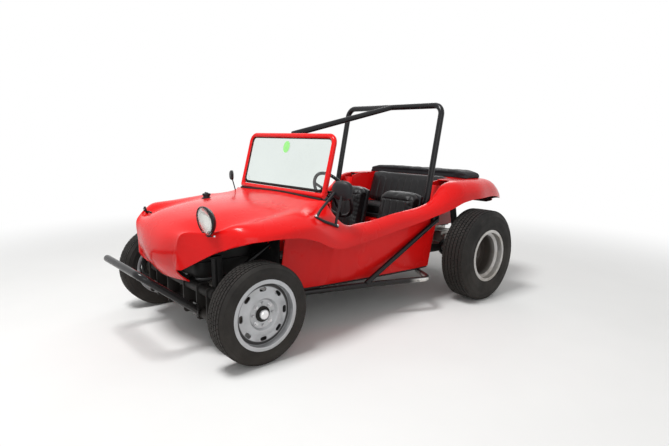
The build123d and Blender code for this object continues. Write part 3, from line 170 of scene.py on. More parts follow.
# One finish: two tones, dust below a height, grain, and a roughness that follows the tones
def finish(name, light, dark, roughness, metallic=0.0, coat=0.0, scale=4.0, dust=(0.8, 0.3),
           grain=(300.0, 0.1), spread=0.08, specular=0.5):
    material, tree, shader, tone = toned(name, light, dark, scale, grain)
    road = place_group(tree, dust_tree, Top=dust[0], Amount=dust[1])
    rough = node(tree, "ShaderNodeMapRange", in_To_Min=roughness - spread, in_To_Max=roughness + spread)
    dusty = node(tree, "ShaderNodeMath", operation="ADD", use_clamp=True)
    wire(tree, (tone, "Color", road, "Color"), (road, "Color", shader, "Base Color"),
         (tone, "Mask", rough, "Value"), (rough, "Result", dusty, 0), (road, "Mask", dusty, 1),
         (dusty, 0, shader, "Roughness"))
    fill(shader, Metallic=metallic, Coat_Weight=coat, Coat_Roughness=0.04, Specular_IOR_Level=specular)
    return material


def mix_over(material, colour, mask, metallic, roughness):
    # Lays a second colour with its own shine over the finish where the mask is 1
    tree = material.node_tree
    shader = tree.nodes["Principled BSDF"]
    plain = shader.inputs["Metallic"].default_value
    shine = node(tree, "ShaderNodeMapRange", in_To_Min=plain, in_To_Max=metallic)
    tree.links.new(mask, shine.inputs["Value"])
    wire(tree, (shine, "Result", shader, "Metallic"))
    for entry, kind, value in (("Base Color", "RGBA", (*colour, 1)), ("Roughness", "FLOAT", roughness)):
        before = shader.inputs[entry].links[0].from_socket
        mix = node(tree, "ShaderNodeMix", data_type=kind, in_B=value)
        tree.links.new(mask, mix.inputs["Factor"])
        tree.links.new(before, mix.inputs["A"])
        wire(tree, (mix, "Result", shader, entry))


def ramped(tree, measured, low, high, soft):
    # 1 where the measured value lies between low and high, with soft ends
    smooth = {"interpolation_type": "SMOOTHSTEP"}
    rise = node(tree, "ShaderNodeMapRange", **smooth, in_From_Min=low - soft, in_From_Max=low)
    fall = node(tree, "ShaderNodeMapRange", **smooth, in_From_Min=high, in_From_Max=high + soft,
                in_To_Min=1.0, in_To_Max=0.0)
    both = node(tree, "ShaderNodeMath", operation="MULTIPLY")
    for ramp in (rise, fall):
        tree.links.new(measured, ramp.inputs["Value"])
    wire(tree, (rise, "Result", both, 0), (fall, "Result", both, 1))
    return both.outputs[0]


def band_mask(tree, axis, low, high, soft, scale, cover, signed=False):
    # 1 between two places along one axis of the object, broken up by noise
    place = node(tree, "ShaderNodeTexCoord")
    split = node(tree, "ShaderNodeSeparateXYZ")
    size = node(tree, "ShaderNodeMath", operation="ABSOLUTE")
    noise = node(tree, "ShaderNodeTexNoise", in_Scale=scale, in_Detail=5.0)
    step = node(tree, "ShaderNodeMapRange", in_From_Min=cover, in_From_Max=cover + 0.14)
    broken = node(tree, "ShaderNodeMath", operation="MULTIPLY")
    wire(tree, (place, "Object", split, 0), (split, axis, size, 0), (place, "Object", noise, "Vector"),
         (noise, "Fac", step, "Value"), (step, "Result", broken, 1))
    measured = split.outputs[axis] if signed else size.outputs[0]
    tree.links.new(ramped(tree, measured, low, high, soft), broken.inputs[0])
    return broken.outputs[0]


def groove_mask(tree, centre, low, high, soft):
    # 1 between two distances from an axle line along X
    place = node(tree, "ShaderNodeTexCoord")
    flat = node(tree, "ShaderNodeVectorMath", operation="MULTIPLY", in_1=(0, 1, 1))
    far = node(tree, "ShaderNodeVectorMath", operation="DISTANCE", in_1=(0, centre.y, centre.z))
    wire(tree, (place, "Object", flat, 0), (flat, "Vector", far, 0))
    return ramped(tree, far.outputs["Value"], low, high, soft)


red_gel_coat = finish("red_gel_coat", (0.72, 0.006, 0.006), (0.64, 0.005, 0.005), 0.26, coat=0.16, scale=1.5,
                      dust=(0.55, 0.10), grain=(60.0, 0.03), spread=0.04, specular=0.12)
# Inside face of the shell: near black, a painted shade for the underside and inner faces that lie in shadow
shell_inside = finish("shell_inside", (0.050, 0.012, 0.010), (0.024, 0.008, 0.007), 0.7, scale=6.0,
                      dust=(0.9, 0.35), grain=(120.0, 0.5), spread=0.1, specular=0.2)
gloss_black = finish("gloss_black", (0.010, 0.010, 0.011), (0.006, 0.006, 0.007), 0.24, coat=0.15,
                     dust=(0.5, 0.16), grain=(90.0, 0.06), specular=0.2)
rail_black = finish("rail_black", (0.010, 0.010, 0.011), (0.006, 0.006, 0.007), 0.28, coat=0.12,
                    dust=(0.4, 0.12), grain=(90.0, 0.06), specular=0.2)
chassis_black = finish("chassis_black", (0.012, 0.012, 0.012), (0.007, 0.007, 0.007), 0.55,
                       dust=(0.5, 0.20), grain=(140.0, 0.3), spread=0.15, specular=0.2)
wheel_silver = finish("wheel_silver", (0.50, 0.51, 0.53), (0.40, 0.41, 0.42), 0.36, metallic=0.75,
                      dust=(0.7, 0.3), grain=(500.0, 0.05))
deep_silver = finish("deep_silver", (0.62, 0.62, 0.62), (0.45, 0.43, 0.40), 0.30, metallic=0.9, scale=9.0,
                     dust=(0.8, 0.5), grain=(300.0, 0.06), spread=0.12)
tyre_rubber = finish("tyre_rubber", (0.016, 0.015, 0.014), (0.009, 0.009, 0.009), 0.72, scale=7.0,
                     dust=(0.8, 0.14), grain=(700.0, 0.35), specular=0.25)
black_vinyl = finish("black_vinyl", (0.008, 0.008, 0.009), (0.005, 0.005, 0.006), 0.42,
                     dust=(1.2, 0.04), grain=(900.0, 0.25), spread=0.1, specular=0.25)
hood_cloth = finish("hood_cloth", (0.012, 0.013, 0.016), (0.007, 0.007, 0.009), 0.62,
                    dust=(1.3, 0.05), grain=(1400.0, 0.4), specular=0.25)
black_plastic = finish("black_plastic", (0.014, 0.015, 0.017), (0.009, 0.009, 0.011), 0.42,
                       dust=(1.2, 0.05), grain=(800.0, 0.15), specular=0.25)
seal_rubber = finish("seal_rubber", (0.008, 0.008, 0.008), (0.006, 0.006, 0.006), 0.6, grain=(500.0, 0.2),
                     dust=(0.6, 0.1), specular=0.2)
bright_steel = finish("bright_steel", (0.66, 0.66, 0.67), (0.55, 0.55, 0.56), 0.22, metallic=1.0,
                      dust=(0.7, 0.2), grain=(400.0, 0.04))
chrome = finish("chrome", (0.80, 0.80, 0.81), (0.74, 0.74, 0.75), 0.09, metallic=1.0, dust=(0.9, 0.06),
                grain=(100.0, 0.01), spread=0.03)
cast_alloy = finish("cast_alloy", (0.42, 0.41, 0.39), (0.28, 0.27, 0.25), 0.5, metallic=0.8, scale=14.0,
                    dust=(0.9, 0.5), grain=(350.0, 0.4), spread=0.12)
heated_steel = finish("heated_steel", (0.20, 0.14, 0.10), (0.09, 0.07, 0.06), 0.6, metallic=0.6, scale=22.0,
                      dust=(0.8, 0.4), grain=(400.0, 0.4), spread=0.15)
drum_iron = finish("drum_iron", (0.09, 0.075, 0.065), (0.05, 0.045, 0.04), 0.62, metallic=0.5, scale=25.0,
                   dust=(0.8, 0.5), grain=(300.0, 0.4), spread=0.12)
red_lens = finish("red_lens", (0.30, 0.002, 0.002), (0.22, 0.001, 0.001), 0.14, coat=0.25, grain=(200.0, 0.1),
                  dust=(0.6, 0.05), spread=0.03, specular=0.3)
dial_white = finish("dial_white", (0.72, 0.72, 0.68), (0.66, 0.66, 0.62), 0.4, grain=(200.0, 0.02))
sticker_green = finish("sticker_green", (0.28, 0.78, 0.22), (0.24, 0.70, 0.19), 0.35, grain=(200.0, 0.02))

# Side rails: bare metal low down and towards the back, as worn paint and as a painted highlight along the
# tube's lower side
low_down = band_mask(rail_black.node_tree, "Z", 0.0, 0.262, 0.006, 14.0, 0.30)
far_back = band_mask(rail_black.node_tree, "Y", 0.30, 0.80, 0.10, 30.0, 0.30, signed=True)
# Bright bare metal where both masks meet: wear, and a painted highlight
wear_and_highlight = node(rail_black.node_tree, "ShaderNodeMath", operation="MULTIPLY")
rail_black.node_tree.links.new(low_down, wear_and_highlight.inputs[0])
rail_black.node_tree.links.new(far_back, wear_and_highlight.inputs[1])
mix_over(rail_black, (0.62, 0.61, 0.58), wear_and_highlight.outputs[0], metallic=1.0, roughness=0.28)

# Rear rims: painted shade in the depth of the barrel; front rims: painted shade with brake dust darkens the
# groove inside the lip
# Painted shade: the barrel turns dark inboard of the outer lip
depth = band_mask(deep_silver.node_tree, "X", 0.0, 0.800, 0.075, 12.0, -0.2)
mix_over(deep_silver, (0.045, 0.036, 0.030), depth, metallic=0.25, roughness=0.55)
# Painted shade with brake dust: a dark ring in the groove, 164 to 178 mm from the axle
groove = groove_mask(wheel_silver.node_tree, front_axle, 164 * MM, 178 * MM, 7 * MM)
mix_over(wheel_silver, (0.035, 0.033, 0.033), groove, metallic=0.2, roughness=0.6)


def glass_material(name, colour, roughness, grain):
    darker = [0.96 * c for c in colour]
    material, _, shader, _ = toned(name, colour, darker, 3.0, grain)
    fill(shader, Transmission_Weight=1.0, Roughness=roughness, IOR=1.48)
    return material


screen_glass = glass_material("screen_glass", (0.80, 0.86, 0.83), 0.0, (20.0, 0.0))
lamp_glass = glass_material("lamp_glass", (0.98, 0.98, 0.95), 0.03, (60.0, 0.05))


# Mesh helpers

def new_object(name, data):
    made = bpy.data.objects.new(name, data)
    bpy.context.scene.collection.objects.link(made)
    return made


def piece_from(name, points, faces, material):
    mesh = bpy.data.meshes.new(name)
    mesh.from_pydata([tuple(p) for p in points], [], faces)
    mesh.materials.append(material)
    return new_object(name, mesh)


def strips(rows, size, around=True, onward=False):
    # Faces between rows of points; around closes each row, onward joins the last row to the first
    faces = []
    for i in range(rows if onward else rows - 1):
        for j in range(size if around else size - 1):
            k, row, after = (j + 1) % size, i * size, (i + 1) % rows * size
            faces.append((row + j, row + k, after + k, after + j))
    return faces


def capped(rows, size):
    # Closed strips with a face over the first row and one over the last
    return strips(rows, size) + [tuple(range(size))[::-1], tuple(range((rows - 1) * size, rows * size))]


def turns(count):
    # Cosine and sine at even steps round a circle
    angles = [2 * math.pi * i / count for i in range(count)]
    return [(math.cos(angle), math.sin(angle)) for angle in angles]


def curved(start, corner, end, t):
    # Point on the arc that leaves start and reaches end, drawn towards the corner
    return (1 - t) ** 2 * start + 2 * t * (1 - t) * corner + t * t * end


def applied(piece):
    # Turns the piece's modifiers into plain mesh
    bpy.context.view_layer.update()
    graph = bpy.context.evaluated_depsgraph_get()
    mesh = bpy.data.meshes.new_from_object(piece.evaluated_get(graph), depsgraph=graph)
    piece.modifiers.clear()
    old = piece.data
    piece.data = mesh
    mesh.name = piece.name
    if old.users == 0:
        bpy.data.meshes.remove(old)
    return piece


def modified(piece, kind, **settings):
    # The piece after one modifier
    step = piece.modifiers.new(kind.lower(), kind)
    for key, value in settings.items():
        setattr(step, key, value)
    return applied(piece)


def tidy_mesh(piece, merge=0.00001):
    work = bmesh.new()
    work.from_mesh(piece.data)
    bmesh.ops.remove_doubles(work, verts=work.verts, dist=merge)
    bmesh.ops.recalc_face_normals(work, faces=work.faces)
    work.to_mesh(piece.data)
    work.free()
    return piece


def shade(piece, angle):
    for face in piece.data.polygons:
        face.use_smooth = True
    piece.data.set_sharp_from_angle(angle=math.radians(angle))
    return piece


def bevelled(piece, width, angle=40.0):
    return modified(piece, "BEVEL", width=width, segments=2, limit_method="ANGLE",
                    angle_limit=math.radians(angle))


def walled(piece, thickness, offset=-1.0):
    return modified(piece, "SOLIDIFY", thickness=thickness, offset=offset)


def moved(piece, at):
    piece.data.transform(Matrix.Translation(at))
    return piece


def place(piece, body="chassis", replaces=(), slot=None):
    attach(piece, body)
    if replaces:
        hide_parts(*replaces)
    return piece


def joined(name, parts):
    # One piece from the meshes of several, which are removed
    work = bmesh.new()
    materials = []
    for part in parts:
        start = len(materials)
        materials += list(part.data.materials)
        before = len(work.faces)
        work.from_mesh(part.data)
        work.faces.ensure_lookup_table()
        for face in work.faces[before:]:
            face.material_index += start
    mesh = bpy.data.meshes.new(name)
    work.to_mesh(mesh)
    work.free()
    for material in materials:
        mesh.materials.append(material)
    for part in parts:
        bpy.data.objects.remove(part)
    return new_object(name, mesh)


# A smooth copy of a CAD node, with its flat faces made whole and its edges softened
def dressed(node_name, material, width, body, cutter=None, angle=35.0):
    made = new_object(node_name + "_piece", frame["nodes"][node_name].data.copy())

    def coat():
        made.data.materials.clear()
        made.data.materials.append(material)

    coat()
    for face in made.data.polygons:
        face.material_index = 0
    work = bmesh.new()
    work.from_mesh(made.data)
    bmesh.ops.remove_doubles(work, verts=work.verts, dist=0.00001)
    bmesh.ops.dissolve_limit(work, angle_limit=math.radians(1.0), verts=work.verts, edges=work.edges)
    work.to_mesh(made.data)
    work.free()
    if cutter:
        modified(made, "BOOLEAN", operation="DIFFERENCE", solver="EXACT", object=cutter)
        coat()
    if width:
        bevelled(made, width, angle)
    shade(made, angle)
    return place(made, body, [node_name])


# Curve through table values whose slopes never overshoot, so that no dent forms between sections
def cubic_through(places, values, at):
    places, values = np.asarray(places, float), np.asarray(values, float)
    step = np.diff(places)[:, None]
    rise = np.diff(values, axis=0) / step
    slope = np.zeros_like(values)
    before, after = rise[:-1], rise[1:]
    same = before * after > 0
    total = np.where(same, before + after, 1.0)
    slope[1:-1] = np.where(same, 2 * before * after / total, 0.0)
    slope[0], slope[-1] = rise[0], rise[-1]
    out = []
    for y in at:
        i = int(np.clip(np.searchsorted(places, y) - 1, 0, len(places) - 2))
        h = float(step[i, 0])
        t = (y - places[i]) / h
        out.append((1 + 2 * t) * (1 - t) ** 2 * values[i] + t * (1 - t) ** 2 * h * slope[i]
                   + t * t * (3 - 2 * t) * values[i + 1] + t * t * (t - 1) * h * slope[i + 1])
    return np.array(out)


# The shell's sections, in millimetres as the part's own table has them
# place, seam x, seam z, crown x, crown z, crease x, crease z, lip x, lip z, middle z, shoulder x, shoulder z
front_rows = [
    (-292, 296, 746, 314, 738, 320, 700, 327, 516, 748, 200, 747),
    (-236, 380, 740, 402, 746, 416, 706, 430, 578, 784, 222, 776),
    (-172, 462, 732, 518, 760, 540, 720, 554, 650, 808, 240, 797),
    (-70, 492, 752, 590, 800, 686, 733, 688, 706, 832, 258, 816),
    (70, 500, 782, 628, 802, 733, 744, 738, 715, 850, 274, 834),
    (230, 506, 812, 645, 812, 746, 757, 750, 708, 860, 288, 847),
    (390, 508, 840, 648, 820, 738, 750, 740, 668, 870, 296, 857),
    (520, 526, 858, 640, 780, 720, 672, 722, 610, 882, 300, 872),
    (612, 556, 876, 634, 760, 704, 634, 706, 584, 892, 300, 884),
]
# share of the way from cowl to quarter, then the same eight columns
side_rows = [
    (0.067, 588, 770, 642, 708, 694, 624, 696, 578),
    (0.147, 586, 712, 636, 688, 684, 622, 684, 580),
    (0.306, 585, 712, 628, 690, 668, 634, 668, 590),
    (0.623, 584, 746, 620, 724, 653, 672, 655, 627),
    (0.861, 584, 764, 628, 748, 664, 710, 668, 664),
]
rear_rows = [
    (-412, 584, 790, 638, 788, 682, 745, 690, 698, 796, 500, 792),
    (-332, 584, 850, 648, 830, 698, 772, 704, 716, 856, 500, 852),
    (-242, 584, 926, 660, 896, 718, 806, 726, 746, 930, 500, 928),
    (-132, 584, 946, 676, 926, 736, 840, 744, 784, 950, 500, 948),
    (48, 582, 945, 676, 930, 738, 856, 744, 799, 952, 500, 949),
    (308, 562, 943, 634, 924, 688, 852, 692, 797, 952, 480, 948),
    (448, 536, 926, 606, 904, 654, 838, 658, 786, 936, 450, 932),
    (568, 500, 868, 562, 856, 614, 806, 618, 765, 880, 420, 876),
    (641, 470, 824, 530, 816, 578, 776, 582, 742, 836, 400, 832),
]


# One side's section from seam to lip: curve over the crown, rounded crease, then the lip's face
crown_steps = 14
crease_steps = 4
lip_steps = 3
crease_radius = 15 * MM


def wing_profile(row, edge_radius=crease_radius):
    seam, crown, crease, lip = [np.array(row[i:i + 2]) for i in (0, 2, 4, 6)]
    reach = np.linalg.norm(crown - seam)
    share = reach / (reach + np.linalg.norm(crease - crown))
    handle = (crown - (1 - share) ** 2 * seam - share ** 2 * crease) / (2 * share * (1 - share))
    out_way = (crease - handle) / np.linalg.norm(crease - handle)
    down = lip - crease
    long = np.linalg.norm(down)
    # A plain crease stays in the upper half of the lip's face, a wider rounding may run further down
    most = 0.45 if edge_radius == crease_radius else 0.85
    before = crease - out_way * min(edge_radius, 0.45 * long)
    after = crease + down / long * min(edge_radius * 1.8, most * long)
    points = [curved(seam, handle, before, i / crown_steps) for i in range(crown_steps + 1)]
    points += [curved(before, crease, after, i / crease_steps) for i in range(1, crease_steps + 1)]
    points += [after + (lip - after) * i / lip_steps for i in range(1, lip_steps + 1)]
    return np.array(points)


# Height of the middle panel at x: straight from the seam to the shoulder, then an arc over the middle
def middle_height(row, x):
    seam_x, seam_z, middle_z, shoulder_x, shoulder_z = row[0], row[1], row[8], row[9], row[10]
    x = abs(x)
    if x > shoulder_x:
        return shoulder_z + (seam_z - shoulder_z) * (x - shoulder_x) / (seam_x - shoulder_x)
    return middle_z - (middle_z - shoulder_z) * (x / shoulder_x) ** 2


station_gap = 20 * MM


def stations(places):
    # Even places between the table's own, so that every section of the table is met
    out = []
    for start, end in zip(places, places[1:]):
        steps = max(1, round((end - start) / station_gap))
        out += [start + (end - start) * i / steps for i in range(steps)]
    return out + [places[-1]]


def lofted(places, rows):
    # The sections at all stations of a patch, with the stations
    rows = [np.array(row[1:]) * MM for row in rows]
    return stations(places), cubic_through(places, rows, stations(places))


front_places = [front_axle.y + row[0] * MM for row in front_rows]
side_places = [cowl_y + row[0] * (quarter_y - cowl_y) for row in side_rows]
rear_places = [rear_axle.y + row[0] * MM for row in rear_rows]
all_rows = [row[:9] for row in front_rows + side_rows + rear_rows]
along, side_sections = lofted(front_places + side_places + rear_places, all_rows)
front_along, front_sections = lofted(front_places, front_rows)
rear_along, rear_sections = lofted(rear_places, rear_rows)
# The wing's own columns run on smoothly from patch to patch
front_sections[:, :8] = side_sections[:len(front_along)]
rear_sections[:, :8] = side_sections[-len(rear_along):]


class Surface:
    # Points shared between patches, so that patches that meet are one surface
    def __init__(self):
        self.points = []
        self.faces = []

    def grid(self, rows, keep=lambda i, j: True):
        start = len(self.points)
        width = len(rows[0])
        for row in rows:
            self.points += [tuple(p) for p in row]
        for i in range(len(rows) - 1):
            for j in range(width - 1):
                if keep(i, j):
                    a = start + i * width + j
                    self.faces.append((a, a + 1, a + 1 + width, a + width))


# Rounds an end section over: the outer points turn until they face along the car
def rolled(section, y, forward, reach, steps, lean=0.0):
    # forward is -1 at the nose and 1 at the tail; reach is how far each point goes, and lean the
    # angle that the surface has there already
    inward = reach * np.cos(lean) / (1 - np.sin(lean))
    tangent = np.gradient(section, axis=0)
    normal = np.stack([-tangent[:, 1], tangent[:, 0]], axis=1)
    normal /= np.linalg.norm(normal, axis=1)[:, None]
    if normal[len(normal) // 2, 1] < 0:
        normal = -normal
    rows = []
    for i in range(steps + 1):
        angle = lean + (math.pi / 2 - lean) * i / steps
        turned = (np.cos(lean) - np.cos(angle)) / np.cos(lean)
        gone = (np.sin(angle) - np.sin(lean)) / (1 - np.sin(lean))
        inside = section - normal * (inward * turned)[:, None]
        rows.append([(p[0], y + forward * far, p[1]) for p, far in zip(inside, reach * gone)])
    return rows


def full_section(row, edge_radius):
    # From the left lip over the middle to the right lip
    side = wing_profile(row[:8], edge_radius)
    xs = np.linspace(row[0], -row[0], bonnet_columns + 2)[1:-1]
    inner = [(x, middle_height(row, x)) for x in xs]
    return np.vstack([side[::-1], inner, side * np.array([-1, 1])])


def placed_rows(sections, places):
    return [[(p[0], y, p[1]) for p in section] for section, y in zip(sections, places)]


bonnet_columns = 27
nose_reach, nose_side_reach = 58 * MM, 16 * MM
nose_side_from, nose_side_to = 0.12, 0.30
nose_lean, nose_side_lean = math.radians(34.0), math.radians(18.0)
nose_steps = 9
fore_edge_radius = 72 * MM
fore_edge_from, fore_edge_to = -1.33, -0.98
nose_low_bulge = 40 * MM
nose_middle_bulge = 5 * MM
chin_z = 418 * MM
chin_back = 84 * MM
chin_steps = 6


def soft_step(value, low, high):
    t = np.clip((value - low) / (high - low), 0.0, 1.0)
    return t * t * (3 - 2 * t)


def part_way(a, b, t):
    return a * (1 - t) + b * t


def build_front(surface):
    plain = soft_step(np.array(front_along), fore_edge_from, fore_edge_to)
    edges = fore_edge_radius - (fore_edge_radius - crease_radius) * plain
    sections = [full_section(row, edge) for row, edge in zip(front_sections, edges)]
    first = sections[0]
    side_share = soft_step(np.abs(first[:, 0]), nose_side_from, nose_side_to)
    reach = nose_reach - (nose_reach - nose_side_reach) * side_share
    roll = rolled(first, front_along[0], -1, reach, nose_steps, nose_lean + nose_side_lean * side_share)
    surface.grid(roll[::-1] + placed_rows(sections, front_along)[1:])
    # The face: columns run down from the bonnet, rows run in from the two sides below the rim's top
    rim = np.array(roll[-1])
    corner = int(np.argmax(rim[:len(rim) // 2, 2]))
    left_side = rim[:corner + 1][::-1]
    right_side = rim[len(rim) - corner - 1:]
    top = rim[corner:len(rim) - corner]
    depth, width = len(left_side), len(top)
    middle = np.sin(np.pi * np.linspace(0, 1, width)) ** 1.3
    ahead = np.array([0, -1, 0])
    face = []
    for i in range(depth):
        t = i / (depth - 1)
        row = []
        for j in range(width):
            s = j / (width - 1)
            across = part_way(left_side[i], right_side[i], s)
            level = part_way(left_side[-1], right_side[-1], s)
            drop = part_way(top[j], level + ahead * nose_low_bulge * middle[j], t)
            straight = part_way(part_way(top[0], top[-1], s), level, t)
            bulge = ahead * nose_middle_bulge * middle[j] * math.sin(math.pi * t)
            row.append(across + drop - straight + bulge)
        face.append(row)
    # The chin: down and back from the face's last row
    last = np.array(face[-1])
    for i in range(1, chin_steps + 1):
        t = i / chin_steps
        row = last.copy()
        row[:, 2] += (chin_z + 6 * MM * (1 - middle) - last[:, 2]) * t
        row[:, 1] += chin_back * t ** 1.5
        face.append(row)
    surface.grid(face)


flange_depth = 46 * MM


def build_sides(surface):
    skip = len(front_along) - 1
    ahead = len(along) - len(rear_along)
    # The flange goes down the inside of the seam, on to where the deck begins
    flange_end = ahead + 2 + sum(y < deck_start for y in rear_along[1:])
    for side in (-1, 1):
        rows = []
        for k in range(skip, ahead + 1):
            rows.append([(side * x, along[k], z) for x, z in wing_profile(side_sections[k])])
        surface.grid(rows)
        flange = []
        for k in range(skip, flange_end):
            x, z = side_sections[k][:2]
            flange.append([(side * (x - inward), along[k], z - down)
                           for inward, down in ((0, 0), (1 * MM, 5 * MM), (1 * MM, flange_depth))])
        surface.grid(flange)


lip_count = len(wing_profile(front_sections[0][:8]))
opening_half = 462 * MM
opening_back = rear_axle.y + 100 * MM
deck_start = rear_axle.y - 132 * MM
tail_radius, wing_end_radius = 26 * MM, 9 * MM
tail_steps = 6
radius_steps = 5
apron_low = 700 * MM
apron_reach = 17
apron_fade_from, apron_fade_to = 0.40, 0.575
apron_least = 8 * MM
apron_steps = 5
edge_columns, deck_columns = 4, 19


def deck_section(row):
    # Columns meet the edge of the opening at its own half width
    outer = np.linspace(row[0], min(opening_half, row[0] - 2 * MM), edge_columns)
    inner = np.linspace(outer[-1], -outer[-1], deck_columns)
    xs = list(outer) + list(inner[1:-1]) + [-x for x in outer[::-1]]
    middle = [(x, middle_height(row, x)) for x in xs]
    side = wing_profile(row[:8])
    return np.vstack([side[::-1][:-1], middle, (side * np.array([-1, 1]))[1:]])


def build_rear(surface):
    sections = [deck_section(row) for row in rear_sections]
    count = len(sections[0])
    first_inner = lip_count - 1
    last_inner = count - lip_count

    def keep(i, j):
        if j < first_inner or j >= last_inner or i + 1 >= len(rear_along):
            return True
        y = 0.5 * (rear_along[i] + rear_along[i + 1])
        if y < deck_start:
            return False
        in_opening = first_inner + edge_columns - 1 <= j < last_inner - edge_columns + 1
        return y > opening_back or not in_opening

    # The last section is set where the rolled edge begins, and its radius fades towards the wings
    radii = np.full(count, wing_end_radius)
    radii[first_inner:last_inner + 1] = tail_radius
    for i in range(radius_steps):
        faded = part_way(tail_radius, wing_end_radius, (i + 1) / radius_steps)
        radii[first_inner - 1 - i] = radii[last_inner + 1 + i] = faded
    start = rear_along[-1] - tail_radius
    cut = max(k for k, y in enumerate(rear_along) if y < start - 4 * MM)
    share = (start - rear_along[cut]) / (rear_along[cut + 1] - rear_along[cut])
    end = sections[cut] + (sections[cut + 1] - sections[cut]) * share
    roll = rolled(end, start, 1, radii, tail_steps)
    surface.grid(placed_rows(sections, rear_along)[:cut + 1] + roll, keep)
    # Apron below the rolled edge, rising along the ends of the two wings to their lips
    rim = np.array(roll[-1])[first_inner - apron_reach:last_inner + apron_reach + 1]
    share = 1 - soft_step(np.abs(rim[:, 0]), apron_fade_from, apron_fade_to)
    low = np.minimum(part_way(float(end[0, 1]), apron_low, share), rim[:, 2] - apron_least)
    flare = 0.10 * share * (np.abs(rim[:, 0]) < 0.49)
    apron = [rim]
    for i in range(1, apron_steps + 1):
        row = rim.copy()
        row[:, 2] += (low - row[:, 2]) * i / apron_steps
        row[:, 0] *= 1 + flare * i / apron_steps
        apron.append(row)
    surface.grid(apron)


surface = Surface()
build_front(surface)
build_sides(surface)
build_rear(surface)
shell = piece_from("body_shell", surface.points, surface.faces, red_gel_coat)
tidy_mesh(shell, merge=0.0004)


def relax(piece, chosen, times):
    # Evens out the moulding where it is chosen by place; its open edges stay
    work = bmesh.new()
    work.from_mesh(piece.data)
    free = [v for v in work.verts if chosen(v.co) and not v.is_boundary]
    for _ in range(times):
        bmesh.ops.smooth_vert(work, verts=free, factor=0.5, use_axis_x=True, use_axis_y=True, use_axis_z=True)
    work.to_mesh(piece.data)
    work.free()


# Flats for the feet of the lamp and of the far bracket, the lamp's pressed in deeper
flat_above = 650 * MM
lamp_foot = Vector((488, -1250, 731)) * MM
flat_spread = 75 * MM
near_flat, far_flat = 20 * MM, 2 * MM
for v in shell.data.vertices:
    if v.co.z > flat_above:
        away = Vector((abs(v.co.x) - lamp_foot.x, v.co.y - lamp_foot.y)).length / flat_spread
        v.co.z -= (near_flat if v.co.x > 0 else far_flat) * math.exp(-away ** 2)
relax(shell, lambda co: co.y < -1.330, 44)
relax(shell, lambda co: co.y < -1.270, 18)
relax(shell, lambda co: -0.66 < co.y < -0.25 and abs(co.x) > 0.52, 10)
relax(shell, lambda co: True, 5)
# The inside face of the shell takes the near-black painted shade
shell.data.materials.append(shell_inside)
modified(shell, "SOLIDIFY", thickness=skin, offset=-1.0, material_offset=1)
shade(shell, 40.0)
place(shell, "chassis", ["front_wing_left", "front_wing_right", "bonnet", "body_side_left",
                         "body_side_right", "rear_wing_left", "rear_wing_right", "rear_deck",
                         "nose_panel"], "body_paint")


# Nodes that keep their CAD shape, with whole faces, softened edges and their own finish
kept_nodes = [
    # material, edge width, slot, nodes
    (red_gel_coat, 2.0, "body_paint", ["tub_wall_left", "tub_wall_right", "rear_tub", "dashboard"]),
    (chassis_black, 1.5, "frame_black", ["toe_board", "floor_pan_left", "floor_pan_right", "backbone"]),
    (red_gel_coat, 1.0, "body_paint", ["windscreen_frame"]),
    (screen_glass, 0.0, "glazing", ["windscreen_glass"]),
    (gloss_black, 1.0, "frame_black", ["roll_bar"]),
    (rail_black, 1.0, "frame_black", ["side_rail_left", "side_rail_right"]),
    (gloss_black, 1.0, "frame_black", ["front_bumper"]),
    (chassis_black, 1.2, "frame_black", ["front_beam"]),
    (drum_iron, 1.2, "drum_iron", ["knuckle_left", "knuckle_right"]),
    (cast_alloy, 1.2, "engine_alloy", ["steering_box"]),
    (cast_alloy, 2.0, "engine_alloy", ["transaxle"]),
    (chassis_black, 1.5, "frame_black", ["rear_suspension"]),
    (cast_alloy, 1.0, "engine_alloy", ["engine"]),
    (gloss_black, 2.0, "frame_black", ["fan_shroud"]),
    (heated_steel, 1.2, "exhaust_steel", ["exhaust"]),
    (black_plastic, 1.0, "mirror_plastic", ["steering_wheel"]),
    (gloss_black, 1.0, "frame_black", ["steering_column"]),
    (gloss_black, 0.8, "frame_black", ["controls"]),
    (drum_iron, 1.2, "drum_iron", ["front_hub_left", "front_hub_right", "rear_hub_left", "rear_hub_right"]),
    (deep_silver, 1.0, "wheel_silver", ["rear_wheel_left", "rear_wheel_right"]),
]
# The bodies of those that don't ride on the chassis
bodies = {"steering_wheel": "hand_wheel"}
for side, word in both_sides:
    bodies[f"knuckle_{word}"] = f"steering_knuckle_{word}"
    bodies[f"front_hub_{word}"] = f"road_wheel_front_{word}"
    bodies[f"rear_hub_{word}"] = bodies[f"rear_wheel_{word}"] = f"road_wheel_rear_{word}"
for material, width, slot, node_names in kept_nodes:
    for node_name in node_names:
        dressed(node_name, material, width * MM, bodies.get(node_name, "chassis"))


# Pieces turned about an axis; a profile's rows are (distance along the axis, radius)

def spun(name, profile, centre, axis, material, count=96, closed=True):
    axis = Vector(axis).normalized()
    across = axis.cross(Vector((0, 0, 1)) if abs(axis.z) < 0.9 else Vector((0, 1, 0))).normalized()
    upward = across.cross(axis)
    points = []
    for c, s in turns(count):
        ray = across * c + upward * s
        points += [centre + axis * distance + ray * radius for distance, radius in profile]
    return tidy_mesh(piece_from(name, points, strips(count, len(profile), closed, True), material))


